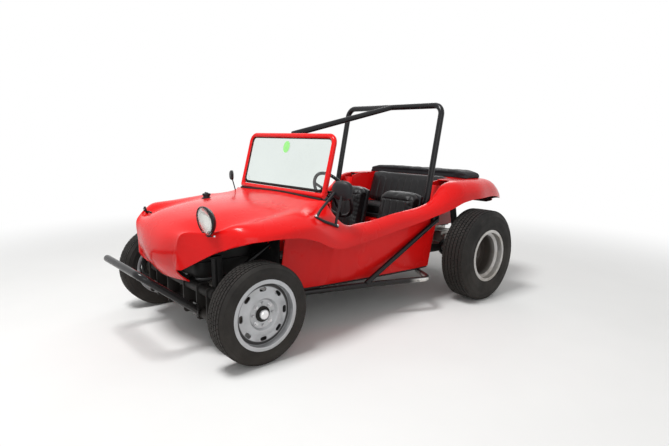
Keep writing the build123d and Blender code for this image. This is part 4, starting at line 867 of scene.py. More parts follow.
# Geometry nodes that set copies of one part round a ring about the X axis
def build_ring_tree():
    tree = bpy.data.node_groups.new("ring_of_parts", "GeometryNodeTree")
    for label, kind in (("Part", "Object"), ("Count", "Int"), ("Radius", "Float"), ("Start", "Float"),
                        ("Turn", "Vector"), ("Centre", "Vector"), ("Finish", "Material")):
        tree.interface.new_socket(label, in_out="INPUT", socket_type="NodeSocket" + kind)
    tree.interface.new_socket("Geometry", in_out="OUTPUT", socket_type="NodeSocketGeometry")
    given, out = tree.nodes.new("NodeGroupInput"), tree.nodes.new("NodeGroupOutput")
    ring = node(tree, "GeometryNodeMeshCircle")
    index = node(tree, "GeometryNodeInputIndex")
    step = node(tree, "ShaderNodeMath", operation="DIVIDE", in_0=2 * math.pi)
    turn = node(tree, "ShaderNodeMath", operation="MULTIPLY")
    about = node(tree, "ShaderNodeCombineXYZ")
    part = node(tree, "GeometryNodeObjectInfo")
    copies = node(tree, "GeometryNodeInstanceOnPoints")
    start = node(tree, "ShaderNodeCombineXYZ")
    spin = node(tree, "GeometryNodeTransform")
    tilt = node(tree, "GeometryNodeTransform")
    real = node(tree, "GeometryNodeRealizeInstances")
    coat = node(tree, "GeometryNodeSetMaterial")
    wire(tree, (given, "Count", ring, "Vertices"), (given, "Radius", ring, "Radius"),
         (given, "Count", step, 1), (index, 0, turn, 0), (step, 0, turn, 1), (turn, 0, about, "Z"),
         (given, "Part", part, "Object"), (ring, "Mesh", copies, "Points"),
         (part, "Geometry", copies, "Instance"), (about, 0, copies, "Rotation"),
         (given, "Start", start, "Z"), (copies, 0, spin, "Geometry"), (start, 0, spin, "Rotation"),
         (spin, 0, tilt, "Geometry"), (given, "Turn", tilt, "Rotation"),
         (given, "Centre", tilt, "Translation"), (tilt, 0, real, 0), (real, 0, coat, "Geometry"),
         (given, "Finish", coat, "Material"), (coat, 0, out, "Geometry"))
    return tree


ring_tree = build_ring_tree()


def ring_of(name, part, count, radius, centre, material, side=1, start=0.0):
    made = piece_from(name, [], [], material)
    spread = made.modifiers.new("ring", "NODES")
    spread.node_group = ring_tree
    values = {"Part": part, "Count": count, "Radius": radius, "Start": start,
              "Turn": (0, side * math.pi / 2, 0), "Centre": tuple(centre), "Finish": material}
    for item in ring_tree.interface.items_tree:
        if item.in_out == "INPUT":
            spread[item.identifier] = values[item.name]
    return applied(made)


def block_part(name, deep, long, wide, taper):
    # A tread block: deep along the radius, long round the tyre, wide across it
    corners = ((-1, -1), (1, -1), (1, 1), (-1, 1))
    points = [(x, y * (long / 2 - cut), z * (wide / 2 - cut)) for x, cut in ((-deep, 0), (0, taper))
              for y, z in corners]
    return tidy_mesh(piece_from(name, points, capped(2, 4), tyre_rubber))


def bolt_part(name, radius, height, washer, material=bright_steel):
    # A six-sided head on a round washer, its axis along Z
    points, faces = [], []
    washer_rings = [(washer, 0), (washer, height * 0.18)]
    head_rings = [(radius, height * 0.1), (radius, height * 0.88), (radius * 0.86, height)]
    for count, rings in ((24, washer_rings), (6, head_rings)):
        faces += [tuple(len(points) + k for k in face) for face in capped(len(rings), count)]
        points += [(r * c, r * s, z) for r, z in rings for c, s in turns(count)]
    return piece_from(name, points, faces, material)


# The tyres: half width, radius, tread rings (place across, width), blocks in a ring, sidewall profile
tyre_sizes = {
    "front": (79, 298, [(-48, 18.5), (-24, 19.5), (0, 19.5), (24, 19.5), (48, 18.5)], 68,
              [(64, 193), (70, 203), (74, 212), (75.6, 216), (75.2, 218), (77.4, 230), (78.8, 244),
               (79.0, 248), (78.0, 250), (77.8, 260), (75.2, 271), (76.0, 274), (73.6, 277),
               (70.0, 284), (64.5, 290), (58.0, 291)]),
    "rear": (114, 362, [(-76, 24), (-46, 25), (-15.5, 25), (15.5, 25), (46, 25), (76, 24)], 84,
             [(96, 193), (102, 203), (106, 214), (108.4, 222), (107.8, 225), (112.0, 248), (114.0, 272),
              (114.0, 280), (112.8, 284), (112.4, 296), (109.6, 313), (110.4, 318), (107.0, 322),
              (101.0, 337), (94.0, 349), (86.0, 353.5)]),
}


def build_tyre(end, side, word, axle):
    half, radius, rings, count, wall = tyre_sizes[end]
    name = f"{end}_tyre_{word}"
    centre = wheel_centre(side, axle)
    outer = [(x * MM, r * MM) for x, r in wall]
    floor_x, floor_radius = wall[-1]
    base = [(x * MM, floor_radius * MM) for x in np.linspace(floor_x, -floor_x, 12)[1:-1]]
    inner = [(-x, r) for x, r in outer[::-1]]
    parts = [spun(name + "_carcass", outer + base + inner, centre, (side, 0, 0), tyre_rubber, 160)]
    for k, (across, width) in enumerate(rings):
        # The outer blocks stand a little lower
        top = radius - (1.6 if abs(across) > 0.55 * half else 0.0)
        pitch = 2 * math.pi * top / count
        part = block_part("block", (top - floor_radius + 3) * MM, (pitch - 2.4) * MM, width * MM, 0.6 * MM)
        middle = centre + Vector((across * MM, 0, 0))
        start = (k % 2) * math.pi / count
        parts.append(ring_of("tread", part, count, top * MM, middle, tyre_rubber, 1, start))
        bpy.data.objects.remove(part)
    made = joined(name + "_piece", parts)
    place(shade(made, 28.0), f"road_wheel_{end}_{word}", [name], "tyre")


for side, word in both_sides:
    build_tyre("front", side, word, front_axle)
    build_tyre("rear", side, word, rear_axle)


# Front rims: the CAD's own, with eight wide slots cut through the edge of the disc
slot_sizes = (25 * MM, 46 * MM, 70 * MM)
slot_count = 8
slot_circle = 146 * MM
slot_further = 34 * MM


def slot_part(name, deep, long, wide):
    # A cutter with round ends: deep along the radius, long round the rim, wide across it
    turn = deep / 2 - 0.5 * MM
    outline = []
    for y, start in ((long / 2 - turn, -90), (turn - long / 2, 90)):
        for i in range(9):
            angle = math.radians(start + 22.5 * i)
            outline.append((turn * math.sin(angle), y + turn * math.cos(angle)))
    points = [(x, y, z) for z in (-wide / 2, wide / 2) for x, y in outline]
    return tidy_mesh(piece_from(name, points, capped(2, len(outline)), wheel_silver))


for side, word in both_sides:
    slot = slot_part("slot", *slot_sizes)
    centre = wheel_centre(side, front_axle, slot_further)
    cutter = ring_of("slots", slot, slot_count, slot_circle, centre, wheel_silver, side)
    rim = dressed(f"front_wheel_{word}", wheel_silver, 1 * MM, f"road_wheel_front_{word}", cutter)
    bpy.data.objects.remove(cutter)
    bpy.data.objects.remove(slot)


# Wheel bolts and hub caps
lug_circle = 65 * MM
# The disc's outer face at the bolts: half the rim's width, less the disc's inset and its dish
disc_dish = 5
front_hub_face = (146 / 2 - 34 - disc_dish) * MM
rear_hub_face = (212 / 2 - 156 - disc_dish) * MM
# distance beyond the hub's face, radius, in millimetres
cap_ring = [(0, 46), (5, 45), (8, 40), (8, 33), (0, 31)]
cap_dome = [(2, 33)]
for c, s in turns(32)[:9]:
    cap_dome.append((16 + 18 * s, max(0.02, 30 * abs(c) ** 0.8)))
lug = bolt_part("lug", 10.5 * MM, 15 * MM, 13.5 * MM)
for side, word in both_sides:
    for end, axle, face in (("front", front_axle, front_hub_face), ("rear", rear_axle, rear_hub_face)):
        seat = wheel_centre(side, axle, face)
        bolts = ring_of(f"{end}_wheel_bolts_{word}", lug, 4, lug_circle, seat, bright_steel, side,
                        math.pi / 4)
        place(shade(bolts, 30.0), f"road_wheel_{end}_{word}", slot="wheel_silver")
    for name, profile, material, angle, slot, closed in (
            ("front_cap_ring", cap_ring, seal_rubber, 30.0, "tyre", True),
            ("front_cap", cap_dome, chrome, 50.0, "wheel_silver", False)):
        profile = [(front_hub_face + x * MM, r * MM) for x, r in profile]
        centre = wheel_centre(side, front_axle)
        cap = spun(f"{name}_{word}", profile, centre, (side, 0, 0), material, 64, closed)
        place(shade(cap, angle), f"road_wheel_front_{word}", slot=slot)
bpy.data.objects.remove(lug)


# Windscreen: rubber gasket round the glass, and a plain round sticker on it
screen_low = Vector((0, -434, 902)) * MM
screen_high = Vector((0, -331, 1295)) * MM
screen_up = (screen_high - screen_low).normalized()
screen_ahead = Vector((0, -screen_up.z, screen_up.y))
sticker_at = Vector((-0.015, -0.353, 1.212))
sticker_high, sticker_wide = 44 * MM, 44 * 0.86 * MM
sticker_front, sticker_back = 5.2 * MM, 4.7 * MM


def build_sticker():
    points = []
    for ahead in (sticker_front, sticker_back):
        for c, s in turns(48):
            points.append(sticker_at + screen_ahead * ahead + Vector((c * sticker_wide, 0, 0))
                          + screen_up * s * sticker_high)
    made = tidy_mesh(piece_from("screen_sticker", points, capped(2, 48), sticker_green))
    place(shade(made, 40.0), slot="glazing")


def build_screen_rubber():
    # Gasket round the glass inside the frame, wider where it sits on the bottom bar
    half, low, high, turn = 0.494, 0.020, 0.392, 0.040
    middle, bar_width, edge_width = 0.206, 20 * MM, 9 * MM
    outline = []
    for x, up, start in ((half, high, 0), (-half, high, 90), (-half, low, 180), (half, low, 270)):
        for i in range(7):
            angle = math.radians(start + 15 * i)
            outline.append((x - math.copysign(turn, x) + turn * math.cos(angle),
                            up - math.copysign(turn, up - middle) + turn * math.sin(angle)))
    points = []
    for x, up in outline:
        wide = bar_width if up < 0.05 else edge_width
        inner_x = x * (1 - edge_width / half)
        inner_up = up + math.copysign(wide, middle - up) * abs(up - middle) / (high - middle)
        # share of the way inwards, height over the glass in millimetres
        for share, out in ((0, 3), (0.6, 8), (1, 4), (1, -4), (0, -4)):
            points.append(screen_low + Vector((part_way(x, inner_x, share), 0, 0))
                          + screen_up * part_way(up, inner_up, share) + screen_ahead * out * MM)
    faces = strips(len(outline), 5, onward=True)
    made = tidy_mesh(piece_from("screen_rubber", points, faces, seal_rubber))
    place(shade(bevelled(made, 1.5 * MM), 40.0), slot="frame_black")


def build_cowl_seal():
    # A D-shaped strip that closes the gap between the bonnet and the frame's foot
    profile = [(-9, 0), (-9, 8), (-4, 13), (6, 14), (16, 13), (20, 4), (20, 0)]
    seal_half, seal_y, sunk = 0.505, screen_low.y - 20 * MM, 3 * MM
    points = []
    xs = np.linspace(-seal_half, seal_half, 41)
    for x in xs:
        base = middle_height(front_sections[-1], x) - sunk
        points += [(x, seal_y + y * MM, base + z * MM) for y, z in profile]
    made = tidy_mesh(piece_from("cowl_seal", points, capped(len(xs), len(profile)), seal_rubber))
    place(shade(made, 40.0), slot="frame_black")


build_sticker()
build_screen_rubber()
build_cowl_seal()


# Tubes along a line of points, round in section and closed at their ends
def tube(name, line, radius, material, sides=14):
    line = [Vector(p) for p in line]
    points = []
    across = None
    for i, p in enumerate(line):
        ahead = (line[min(i + 1, len(line) - 1)] - line[max(i - 1, 0)]).normalized()
        if across is None:
            across = ahead.orthogonal().normalized()
        across = (across - ahead * across.dot(ahead)).normalized()
        other = ahead.cross(across)
        points += [p + (across * c + other * s) * radius for c, s in turns(sides)]
    return tidy_mesh(piece_from(name, points, capped(len(line), sides), material))


def bent(corners, radius, steps=6):
    # A line of points through corners, each turned by an arc
    corners = [Vector(c) for c in corners]
    out = [corners[0]]
    for before, corner, after in zip(corners, corners[1:], corners[2:]):
        start = corner + (before - corner).normalized() * radius
        end = corner + (after - corner).normalized() * radius
        out += [curved(start, corner, end, k / steps) for k in range(steps + 1)]
    return out + [corners[-1]]


# Mirrors: a domed head with its glass facing the driver, on uprights clamped to the body
head_power = 2.7


def mirror_head(name, centre, facing, wide, high, deep):
    facing = Vector(facing).normalized()
    across = facing.cross(Vector((0, 0, 1))).normalized()
    upward = across.cross(facing)
    # Directions round the head, whose outline is a rectangle with very round corners
    rays = []
    for c, s in turns(56):
        squared = (abs(c) ** head_power + abs(s) ** head_power) ** (-1 / head_power)
        rays.append(across * c * squared * wide + upward * s * squared * high)
    # The dome, from its rim to the back: size of the outline, depth behind the rim
    shape = []
    for i in range(15):
        angle = math.pi / 2 * i / 14
        shape.append((math.cos(angle) ** 0.55, math.sin(angle) ** 0.8))
    dome = [centre + ray * size - facing * deep * depth for size, depth in shape for ray in rays]
    lip = [centre + ray * size + facing * deep * depth for size, depth in ((0.93, 0.0), (0.90, -0.08))
           for ray in rays]
    count = len(rays)
    start = len(dome)
    faces = strips(len(shape), count) + [tuple(range(start - count, start))]
    for j in range(count):
        k = (j + 1) % count
        faces.append((start + j, start + k, k, j))
        faces.append((start + count + j, start + count + k, start + k, start + j))
    head = tidy_mesh(piece_from(name, dome + lip, faces, black_plastic))
    pane = [centre - facing * deep * 0.07 + ray * 0.915 for ray in rays]
    under = [p - facing * 2 * MM for p in pane]
    return head, tidy_mesh(piece_from(name + "_pane", pane + under, capped(2, count), chrome))


def place_mirror(node_name, parts, glass):
    made = joined(node_name + "_piece", parts)
    place(shade(made, 45.0), "chassis", [node_name], "mirror_plastic")
    place(shade(glass, 40.0), slot="mirror_plastic")


def build_mirrors():
    # Near side: a wide head on two legs, which spread to a foot clamped over the wing's inner edge
    head, glass = mirror_head("near_mirror", Vector((0.642, -0.385, 0.948)), (-0.30, 0.95, 0.0),
                              0.076, 0.064, 0.036)
    near_tubes = [
        # radius in millimetres, corners
        (9, [(0.650, -0.606, 0.800), (0.642, -0.575, 0.834), (0.612, -0.430, 0.934)]),
        (9, [(0.655, -0.456, 0.730), (0.656, -0.446, 0.780), (0.658, -0.404, 0.934)]),
        (10, [(0.652, -0.622, 0.800), (0.662, -0.557, 0.766), (0.659, -0.500, 0.746),
              (0.657, -0.438, 0.721)]),
    ]
    parts = [head]
    for radius, corners in near_tubes:
        parts.append(tube("leg", bent(corners, 0.02), radius * MM, black_plastic))
    for at in ((0.653, -0.616, 0.804), (0.658, -0.442, 0.725)):
        parts.append(moved(bolt_part("clamp_bolt", 8 * MM, 12 * MM, 12 * MM), Vector(at)))
    place_mirror("mirror_left", parts, glass)
    # Far side: a small round head on a thin stalk
    head, glass = mirror_head("far_mirror", Vector((-0.598, -0.482, 0.972)), (0.25, 0.97, 0.0),
                              0.042, 0.040, 0.020)
    corners = [(-0.556, -0.480, 0.852), (-0.566, -0.488, 0.90), (-0.592, -0.492, 0.962)]
    stalk = tube("stalk", bent(corners, 0.025), 4.5 * MM, black_plastic)
    foot = moved(bolt_part("stalk_foot", 8 * MM, 9 * MM, 13 * MM), Vector((-0.560, -0.480, 0.850)))
    place_mirror("mirror_right", [head, stalk, foot], glass)


build_mirrors()


# Headlamp: a hollow bowl with a black rim, a mirror inside and a fluted glass
lamp_at = Vector((486, -1281, 821)) * MM
lamp_radius = 86 * MM
lamp_turn, lamp_pitch = math.radians(2), math.radians(8)
bowl_depth, mirror_depth, lens_dome = 46 * MM, 36 * MM, 11 * MM
flute_pitch, flute_height = 9 * MM, 1.0 * MM


def build_headlamp():
    ahead = Vector((0, -1, 0))
    aim = (Matrix.Translation(lamp_at) @ Matrix.Rotation(lamp_turn, 4, "Z")
           @ Matrix.Rotation(lamp_pitch, 4, "X") @ Matrix.Translation(-lamp_at))
    profile = [(0, lamp_radius - 2 * MM)]
    for i in range(1, 13):
        angle = math.pi / 2 * i / 12
        profile.append((-bowl_depth * math.sin(angle) ** 1.3,
                        max(0.5 * MM, (lamp_radius - 3 * MM) * math.cos(angle) ** 0.7)))
    bowl = spun("headlamp_bowl", profile, lamp_at, ahead, gloss_black, 72, closed=False)
    tidy_mesh(walled(bowl, 2.0 * MM, 1.0)).data.transform(aim)
    foot = moved(bolt_part("headlamp_foot", 17 * MM, 30 * MM, 25 * MM, gloss_black), lamp_foot)
    nut_at = lamp_foot + Vector((0.034, 0.006, 0.002))
    nut = moved(bolt_part("headlamp_nut", 8 * MM, 9 * MM, 11 * MM), nut_at)
    made = joined("headlamp_bowl", [bowl, foot, nut])
    place(shade(made, 40.0), "chassis", ["headlamp_left"], "frame_black")
    # distance ahead, distance inside the lamp's radius, in millimetres
    rim = [(2, 5), (6, 4.5), (7, 2), (4, 0), (-4, 0), (-5, 2)]
    rim = [(y * MM, lamp_radius - inside * MM) for y, inside in rim]
    ring = spun("headlamp_rim", rim, lamp_at, ahead, gloss_black, 96)
    ring.data.transform(aim)
    place(shade(ring, 30.0), slot="frame_black")
    mirror = []
    for i in range(10):
        r = (lamp_radius - 8 * MM) * (1 - i / 9.4)
        mirror.append((mirror_depth * ((r / lamp_radius) ** 2 - 1), r))
    bowl_mirror = spun("headlamp_mirror", mirror, lamp_at, ahead, chrome, 64, closed=False)
    walled(bowl_mirror, 0.8 * MM).data.transform(aim)
    place(shade(bowl_mirror, 50.0), slot="lamp_glass")
    # The glass: a square grid pressed into a disc, domed and fluted
    points = []
    steps = 56
    reach = lamp_radius - 4 * MM
    for i in range(steps + 1):
        for j in range(steps + 1):
            u, v = 2 * i / steps - 1, 2 * j / steps - 1
            x, z = u * math.sqrt(1 - v * v / 2) * reach, v * math.sqrt(1 - u * u / 2) * reach
            share = (x * x + z * z) / reach ** 2
            flute = flute_height * abs(math.sin(math.pi * x / flute_pitch)) * (1 - share ** 4)
            points.append(lamp_at + Vector((x, flute - lens_dome * (1 - share) - 1 * MM, z)))
    faces = strips(steps + 1, steps + 1, around=False)
    lens = tidy_mesh(piece_from("headlamp_glass", points, faces, lamp_glass))
    walled(lens, 2.2 * MM, 1.0).data.transform(aim)
    place(shade(lens, 60.0), "chassis", ["headlamp_lens"], "lamp_glass")


build_headlamp()


# The far side's bare bracket, whose lamp is missing: a stud with its cross bar and a strap
bracket_at = Vector((-lamp_foot.x, lamp_foot.y, 746 * MM))
# radius, height, washer, place; radius, line; all in millimetres from the bracket's foot
bracket_studs = [(13, 20, 24, (0, 0, 0)), (9, 11, 13, (0, 0, 30))]
bracket_bars = [(7, [(0, 0, 10), (0, 0, 46)]), (8, [(-27, 4, 27), (0, 0, 30), (27, -4, 25)]),
                (6, [(4, 4, 8), (26, 18, 12), (36, 34, 2)])]


def build_bracket():
    parts = []
    for radius, high, washer, at in bracket_studs:
        stud = bolt_part("stud", radius * MM, high * MM, washer * MM, gloss_black)
        parts.append(moved(stud, bracket_at + Vector(at) * MM))
    for radius, line in bracket_bars:
        parts.append(tube("strap", [bracket_at + Vector(p) * MM for p in line], radius * MM, gloss_black))
    made = joined("lamp_bracket_right_piece", parts)
    place(shade(made, 40.0), "chassis", ["lamp_bracket_right"], "frame_black")


build_bracket()


# Dials on the dashboard's face: a bright rim, a plain white face and a needle
dial_y, dial_z = -0.3805, 0.802
# place across, radius in millimetres
dials = [(0.292, 44), (0.196, 24), (0.388, 24)]


def dial_ray(degrees):
    angle = math.radians(degrees)
    return Vector((math.sin(angle), 0, math.cos(angle)))


def build_dials():
    back = Vector((0, 1, 0))
    for k, (x, r) in enumerate(dials):
        centre = Vector((x, dial_y, dial_z))

        def turned_part(name, profile, material, count):
            return spun(name, [(y * MM, radius * MM) for y, radius in profile], centre, back, material, count)

        rim = turned_part(f"dial_rim_{k}", [(0, r), (6, r), (9, r - 2), (9, r - 4), (4, r - 6), (0, r - 6)],
                          chrome, 64)
        place(shade(rim, 40.0), slot="mirror_plastic")
        face = turned_part(f"dial_face_{k}", [(0, r - 5), (3, r - 5), (3, 0.1), (0, 0.1)], dial_white, 64)
        place(shade(face, 40.0), slot="mirror_plastic")
        parts = [turned_part("hub", [(3, 4), (6, 4), (6.5, 0.1), (3, 0.1)], seal_rubber, 24)]
        for tick in range(11):
            line = [centre + dial_ray(-135 + 27 * tick) * (r - inside) * MM + back * 3.3 * MM
                    for inside in (12, 7)]
            parts.append(tube("tick", line, 0.9 * MM, seal_rubber, 6))
        ray = dial_ray(-110 + 30 * k)
        line = [centre + (back - ray) * 5 * MM, centre + ray * (r - 14) * MM + back * 4.5 * MM]
        parts.append(tube("needle", line, 1.1 * MM, seal_rubber, 6))
        place(shade(joined(f"dial_marks_{k}", parts), 30.0), slot="tyre")


# Tail lamps: black bezels round the two lenses, which have rings moulded in them
tail_lamp_at = Vector((0.430, 1.6015, 0.762))
# distance behind the shell, radius, in millimetres
tail_bezel = [(0, 38), (7, 38), (10, 36), (10, 33), (0, 32)]
tail_lens = [(1, 33)]
for i in range(31):
    r = 33 * (1 - i / 30)
    ripple = 0.5 * math.cos(math.pi * r / 3.3)
    tail_lens.append((9 + 6 * (1 - (r / 33) ** 2) + ripple, max(r, 0.1)))


def build_tail_lamps():
    for side, word in both_sides:
        centre = Vector((side * tail_lamp_at.x, tail_lamp_at.y, tail_lamp_at.z))
        bezel, lens = [[(y * MM, r * MM) for y, r in profile] for profile in (tail_bezel, tail_lens)]
        made = spun(f"tail_bezel_{word}", bezel, centre, (0, 1, 0), black_plastic, 64)
        place(shade(made, 30.0), slot="mirror_plastic")
        made = spun(f"tail_lens_{word}", lens, centre, (0, 1, 0), red_lens, 64, closed=False)
        place(shade(made, 50.0), "chassis", ["tail_lamps"] if side > 0 else (), "lamp_red")


def build_fuel_cap():
    centre = Vector((-0.286, -0.875, 0.842))
    profile = [(0, 36), (4, 36), (6, 33), (7, 25), (20, 23), (22, 27), (34, 27), (37, 24), (38, 8), (38, 0.1),
               (0, 0.1)]
    profile = [(z * MM, r * MM) for z, r in profile]
    parts = [spun("cap", profile, centre, (0, 0, 1), black_plastic, 48)]
    for c, s in turns(12):
        grip = [centre + Vector((27 * c, 27 * s, z)) * MM for z in (22, 34)]
        parts.append(tube("grip", grip, 2.4 * MM, black_plastic, 8))
    bar = [centre + Vector((x, 0, 40)) * MM for x in (-20, 20)]
    parts.append(tube("bar", bar, 5 * MM, black_plastic, 12))
    made = joined("fuel_cap_piece", parts)
    place(shade(made, 35.0), "chassis", ["fuel_cap"], "mirror_plastic")


build_dials()
build_tail_lamps()
build_fuel_cap()


# Fuel tank under the bonnet, seen through the wheel arches: two pressed halves and the neck to the cap
tank_half_wide, tank_half_long, tank_turn = 240, 205, 70
tank_at = Vector((0, -1.010, 0))
# height, inset, both in millimetres
tank_rows = [(405, 34), (411, 14), (424, 4), (444, 0), (512, 0), (514, -13), (518, -13), (520, 0), (598, 0),
             (622, 6), (636, 20), (641, 44)]
neck_corners = [(-0.150, -0.900, 0.630), (-0.170, -0.890, 0.720), (-0.286, -0.875, 0.780),
                (-0.286, -0.875, 0.832)]


def build_tank():
    points = []
    for z, inset in tank_rows:
        radius = tank_turn - min(inset, 40)
        for k, (sx, sy) in enumerate(((1, 1), (-1, 1), (-1, -1), (1, -1))):
            for i in range(8):
                angle = math.pi / 2 * (k + i / 7)
                x = sx * (tank_half_wide - inset - radius) + radius * math.cos(angle)
                y = sy * (tank_half_long - inset - radius) + radius * math.sin(angle)
                points.append(tank_at + Vector((x, y, z)) * MM)
    tank = tidy_mesh(piece_from("fuel_tank", points, capped(len(tank_rows), 32), chassis_black))
    neck = tube("neck", bent(neck_corners, 0.03), 22 * MM, seal_rubber, 24)
    place(shade(tank, 32.0), slot="frame_black")
    place(shade(neck, 40.0), slot="tyre")


build_tank()


# Padded pieces: a side profile of rounded pads, swelled as cloth under pressure

def pad_piece(name, profile, x_low, x_high, columns, sink, material):
    # A closed block from a side outline, its outline drawn in towards both ends
    profile = np.array(profile)
    middle = profile.mean(axis=0)
    points = []
    for k, x in enumerate(np.linspace(x_low, x_high, columns)):
        edge = min(k, columns - 1 - k)
        share = sink[edge] if edge < len(sink) else 1.0
        points += [(x, *(middle + (p - middle) * share)) for p in profile]
    return tidy_mesh(piece_from(name, points, capped(columns, len(profile)), material))


def rounded(corners, radius, steps=4):
    # Outline of (y, z) corners with each corner turned by an arc of the radius
    corners = [np.array(c, float) for c in corners]
    out = []
    for i, corner in enumerate(corners):
        before, after = corners[i - 1], corners[(i + 1) % len(corners)]
        start = corner + (before - corner) / np.linalg.norm(before - corner) * radius
        end = corner + (after - corner) / np.linalg.norm(after - corner) * radius
        out += [curved(start, corner, end, k / steps) for k in range(steps + 1)]
    return out


def set_points(data, co):
    data.vertices.foreach_set("co", co.astype(np.float32).ravel())
    data.update()


cloth_frames = 20


def swelled(piece, voxel, cap, pressure=4.0):
    # Cloth under pressure, then no point further than the cap from where it was
    scene = bpy.context.scene
    modified(piece, "REMESH", mode="VOXEL", voxel_size=voxel)
    rest = np.array([v.co for v in piece.data.vertices])
    cloth = piece.modifiers.new("swell", "CLOTH")
    cloth.settings.use_pressure = True
    cloth.settings.uniform_pressure_force = pressure
    cloth.settings.effector_weights.gravity = 0.0
    cloth.settings.quality = 4
    cloth.point_cache.frame_start = 1
    cloth.point_cache.frame_end = cloth_frames
    for step in range(1, cloth_frames + 1):
        scene.frame_set(step)
    graph = bpy.context.evaluated_depsgraph_get()
    mesh = bpy.data.meshes.new_from_object(piece.evaluated_get(graph), depsgraph=graph)
    swollen = np.array([v.co for v in mesh.vertices])
    piece.modifiers.clear()
    scene.frame_set(1)
    shift = swollen - rest
    length = np.linalg.norm(shift, axis=1)
    factor = np.where(length > cap, cap / np.maximum(length, 1e-9), 1.0)
    set_points(piece.data, rest + shift * factor[:, None])
    bpy.data.meshes.remove(mesh)
    return piece


# Share of a point by how squarely its normal looks along an axis, times a share by its place
def facing(axis, sign, zone=None, edge=0.4):
    def share(co, normal):
        square = np.clip(sign * normal[:, axis] * 1.4 - edge, 0, 1)
        return square * zone(co) if zone else square

    return share


# Sewn channels: lines across an axis pressed into the pad at their places, as far as their zone goes
channel_width = 6 * MM


def channels(piece, lines, depth):
    data = piece.data
    co, normal = [np.zeros(len(data.vertices) * 3, np.float32) for _ in range(2)]
    data.vertices.foreach_get("co", co)
    data.vertices.foreach_get("normal", normal)
    co, normal = co.reshape(-1, 3), normal.reshape(-1, 3)
    for axis, places, zone in lines:
        for place_at in places:
            gap = np.abs(co[:, axis] - place_at)
            press = depth * np.exp(-(gap / channel_width) ** 2) * zone(co, normal)
            co -= normal * press[:, None]
    set_points(data, co)


def soften(piece):
    return shade(modified(piece, "SUBSURF", levels=1, render_levels=1), 180.0)


def pads(names, outlines, x_low, x_high, columns, sink, voxel, cap):
    # Swelled and softened pads of one width
    pieces = []
    for name, outline in zip(names, outlines):
        pad = pad_piece(name, outline, x_low, x_high, columns, sink, black_vinyl)
        pieces.append(soften(swelled(pad, voxel, cap)))
    return pieces


seat_front, seat_base = -0.061, 0.326
seat_half, seat_x = 0.202, 0.300
base_top, back_foot, back_lean, back_top = seat_base + 0.150, 0.409, 0.120, 0.875
lean_foot = back_foot + back_lean
seat_channels = (-0.105, -0.035, 0.035, 0.105)
seat_edge_channel = 0.150
seat_channel_depth = 7 * MM


def build_seat(side, word):
    centre = side * seat_x
    base = rounded([(seat_front + 0.010, seat_base + 0.055), (seat_front + 0.010, base_top - 0.012),
                    (back_foot - 0.010, base_top - 0.048), (back_foot + 0.010, seat_base + 0.055)], 0.032)
    back = rounded([(back_foot + 0.004, base_top - 0.040), (lean_foot - 0.006, back_top - 0.012),
                    (lean_foot + 0.085, back_top - 0.012), (back_foot + 0.088, base_top - 0.060)], 0.036)
    names = (f"seat_cushion_{word}", f"seat_backrest_{word}")
    cushion, backrest = pads(names, (base, back), centre - seat_half + 0.012, centre + seat_half - 0.012,
                             11, (0.80, 0.94), 0.010, 0.016)
    places = [centre + shift for shift in seat_channels]
    edges = [centre - seat_edge_channel, centre + seat_edge_channel]
    channels(cushion, [
        (0, places, facing(2, 1, lambda co: soft_step(co[:, 1], seat_front + 0.03, seat_front + 0.07))),
        (0, edges, facing(2, 1))], seat_channel_depth)
    channels(backrest, [
        (0, places, facing(1, -1, lambda co: 1 - soft_step(co[:, 2], back_top - 0.10, back_top - 0.06))),
        (0, edges, facing(1, -1)), (2, [back_top - 0.085], facing(1, -1))], seat_channel_depth)
    place(cushion, "chassis", [f"seat_{word}"], "vinyl")
    place(backrest, "chassis", (), "vinyl")
    # The plinth under the pads, and the shell behind them
    plinth = rounded([(seat_front + 0.004, seat_base), (seat_front + 0.004, seat_base + 0.060),
                      (back_foot + 0.030, seat_base + 0.060), (back_foot + 0.088, seat_base)], 0.010)
    plinth = pad_piece(f"seat_plinth_{word}", plinth, centre - seat_half, centre + seat_half, 5, (0.97,),
                       black_plastic)
    rear = rounded([(back_foot + 0.070, base_top - 0.120), (lean_foot + 0.066, back_top - 0.030),
                    (lean_foot + 0.098, back_top - 0.030), (back_foot + 0.108, base_top - 0.130)], 0.010)
    rear = pad_piece(f"seat_shell_{word}", rear, centre - seat_half + 0.010, centre + seat_half - 0.010, 7,
                     (0.90, 0.97), black_plastic)
    made = joined(f"seat_frame_{word}", [plinth, rear])
    place(shade(bevelled(made, 2 * MM), 40.0), "chassis", (), "vinyl")


for side, word in both_sides:
    build_seat(side, word)


# Rear bench: seat pad on the shelf and a tall backrest, each in one long pad
bench_half = 0.456
bench_channel_gap = 0.076
bench_channel_depth = 6 * MM


def build_bench():
    seat = rounded([(0.682, 0.600), (0.682, 0.690), (0.900, 0.682), (0.900, 0.600)], 0.030)
    back = rounded([(0.892, 0.670), (0.988, 0.972), (1.045, 0.972), (1.045, 0.670)], 0.026)
    seat_pad, back_pad = pads(("rear_bench_seat", "rear_bench_back"), (seat, back), -bench_half + 0.010,
                              bench_half - 0.010, 15, (0.84, 0.96), 0.012, 0.014)
    folds = [x * bench_channel_gap for x in range(-5, 6)]
    channels(seat_pad, [(0, folds, facing(2, 1))], bench_channel_depth)
    back_zone = facing(1, -1, lambda co: 1 - soft_step(co[:, 2], 0.90, 0.93), 0.3)
    channels(back_pad, [(0, folds, back_zone)], bench_channel_depth)
    place(seat_pad, "chassis", ["rear_seat"], "vinyl")
    place(back_pad, "chassis", (), "vinyl")
    plinth = rounded([(0.678, 0.569), (0.678, 0.606), (1.050, 0.606), (1.050, 0.569)], 0.008)
    base = pad_piece("rear_bench_base", plinth, -bench_half, bench_half, 5, (0.98,), black_plastic)
    place(shade(bevelled(base, 2 * MM), 40.0), slot="vinyl")


build_bench()


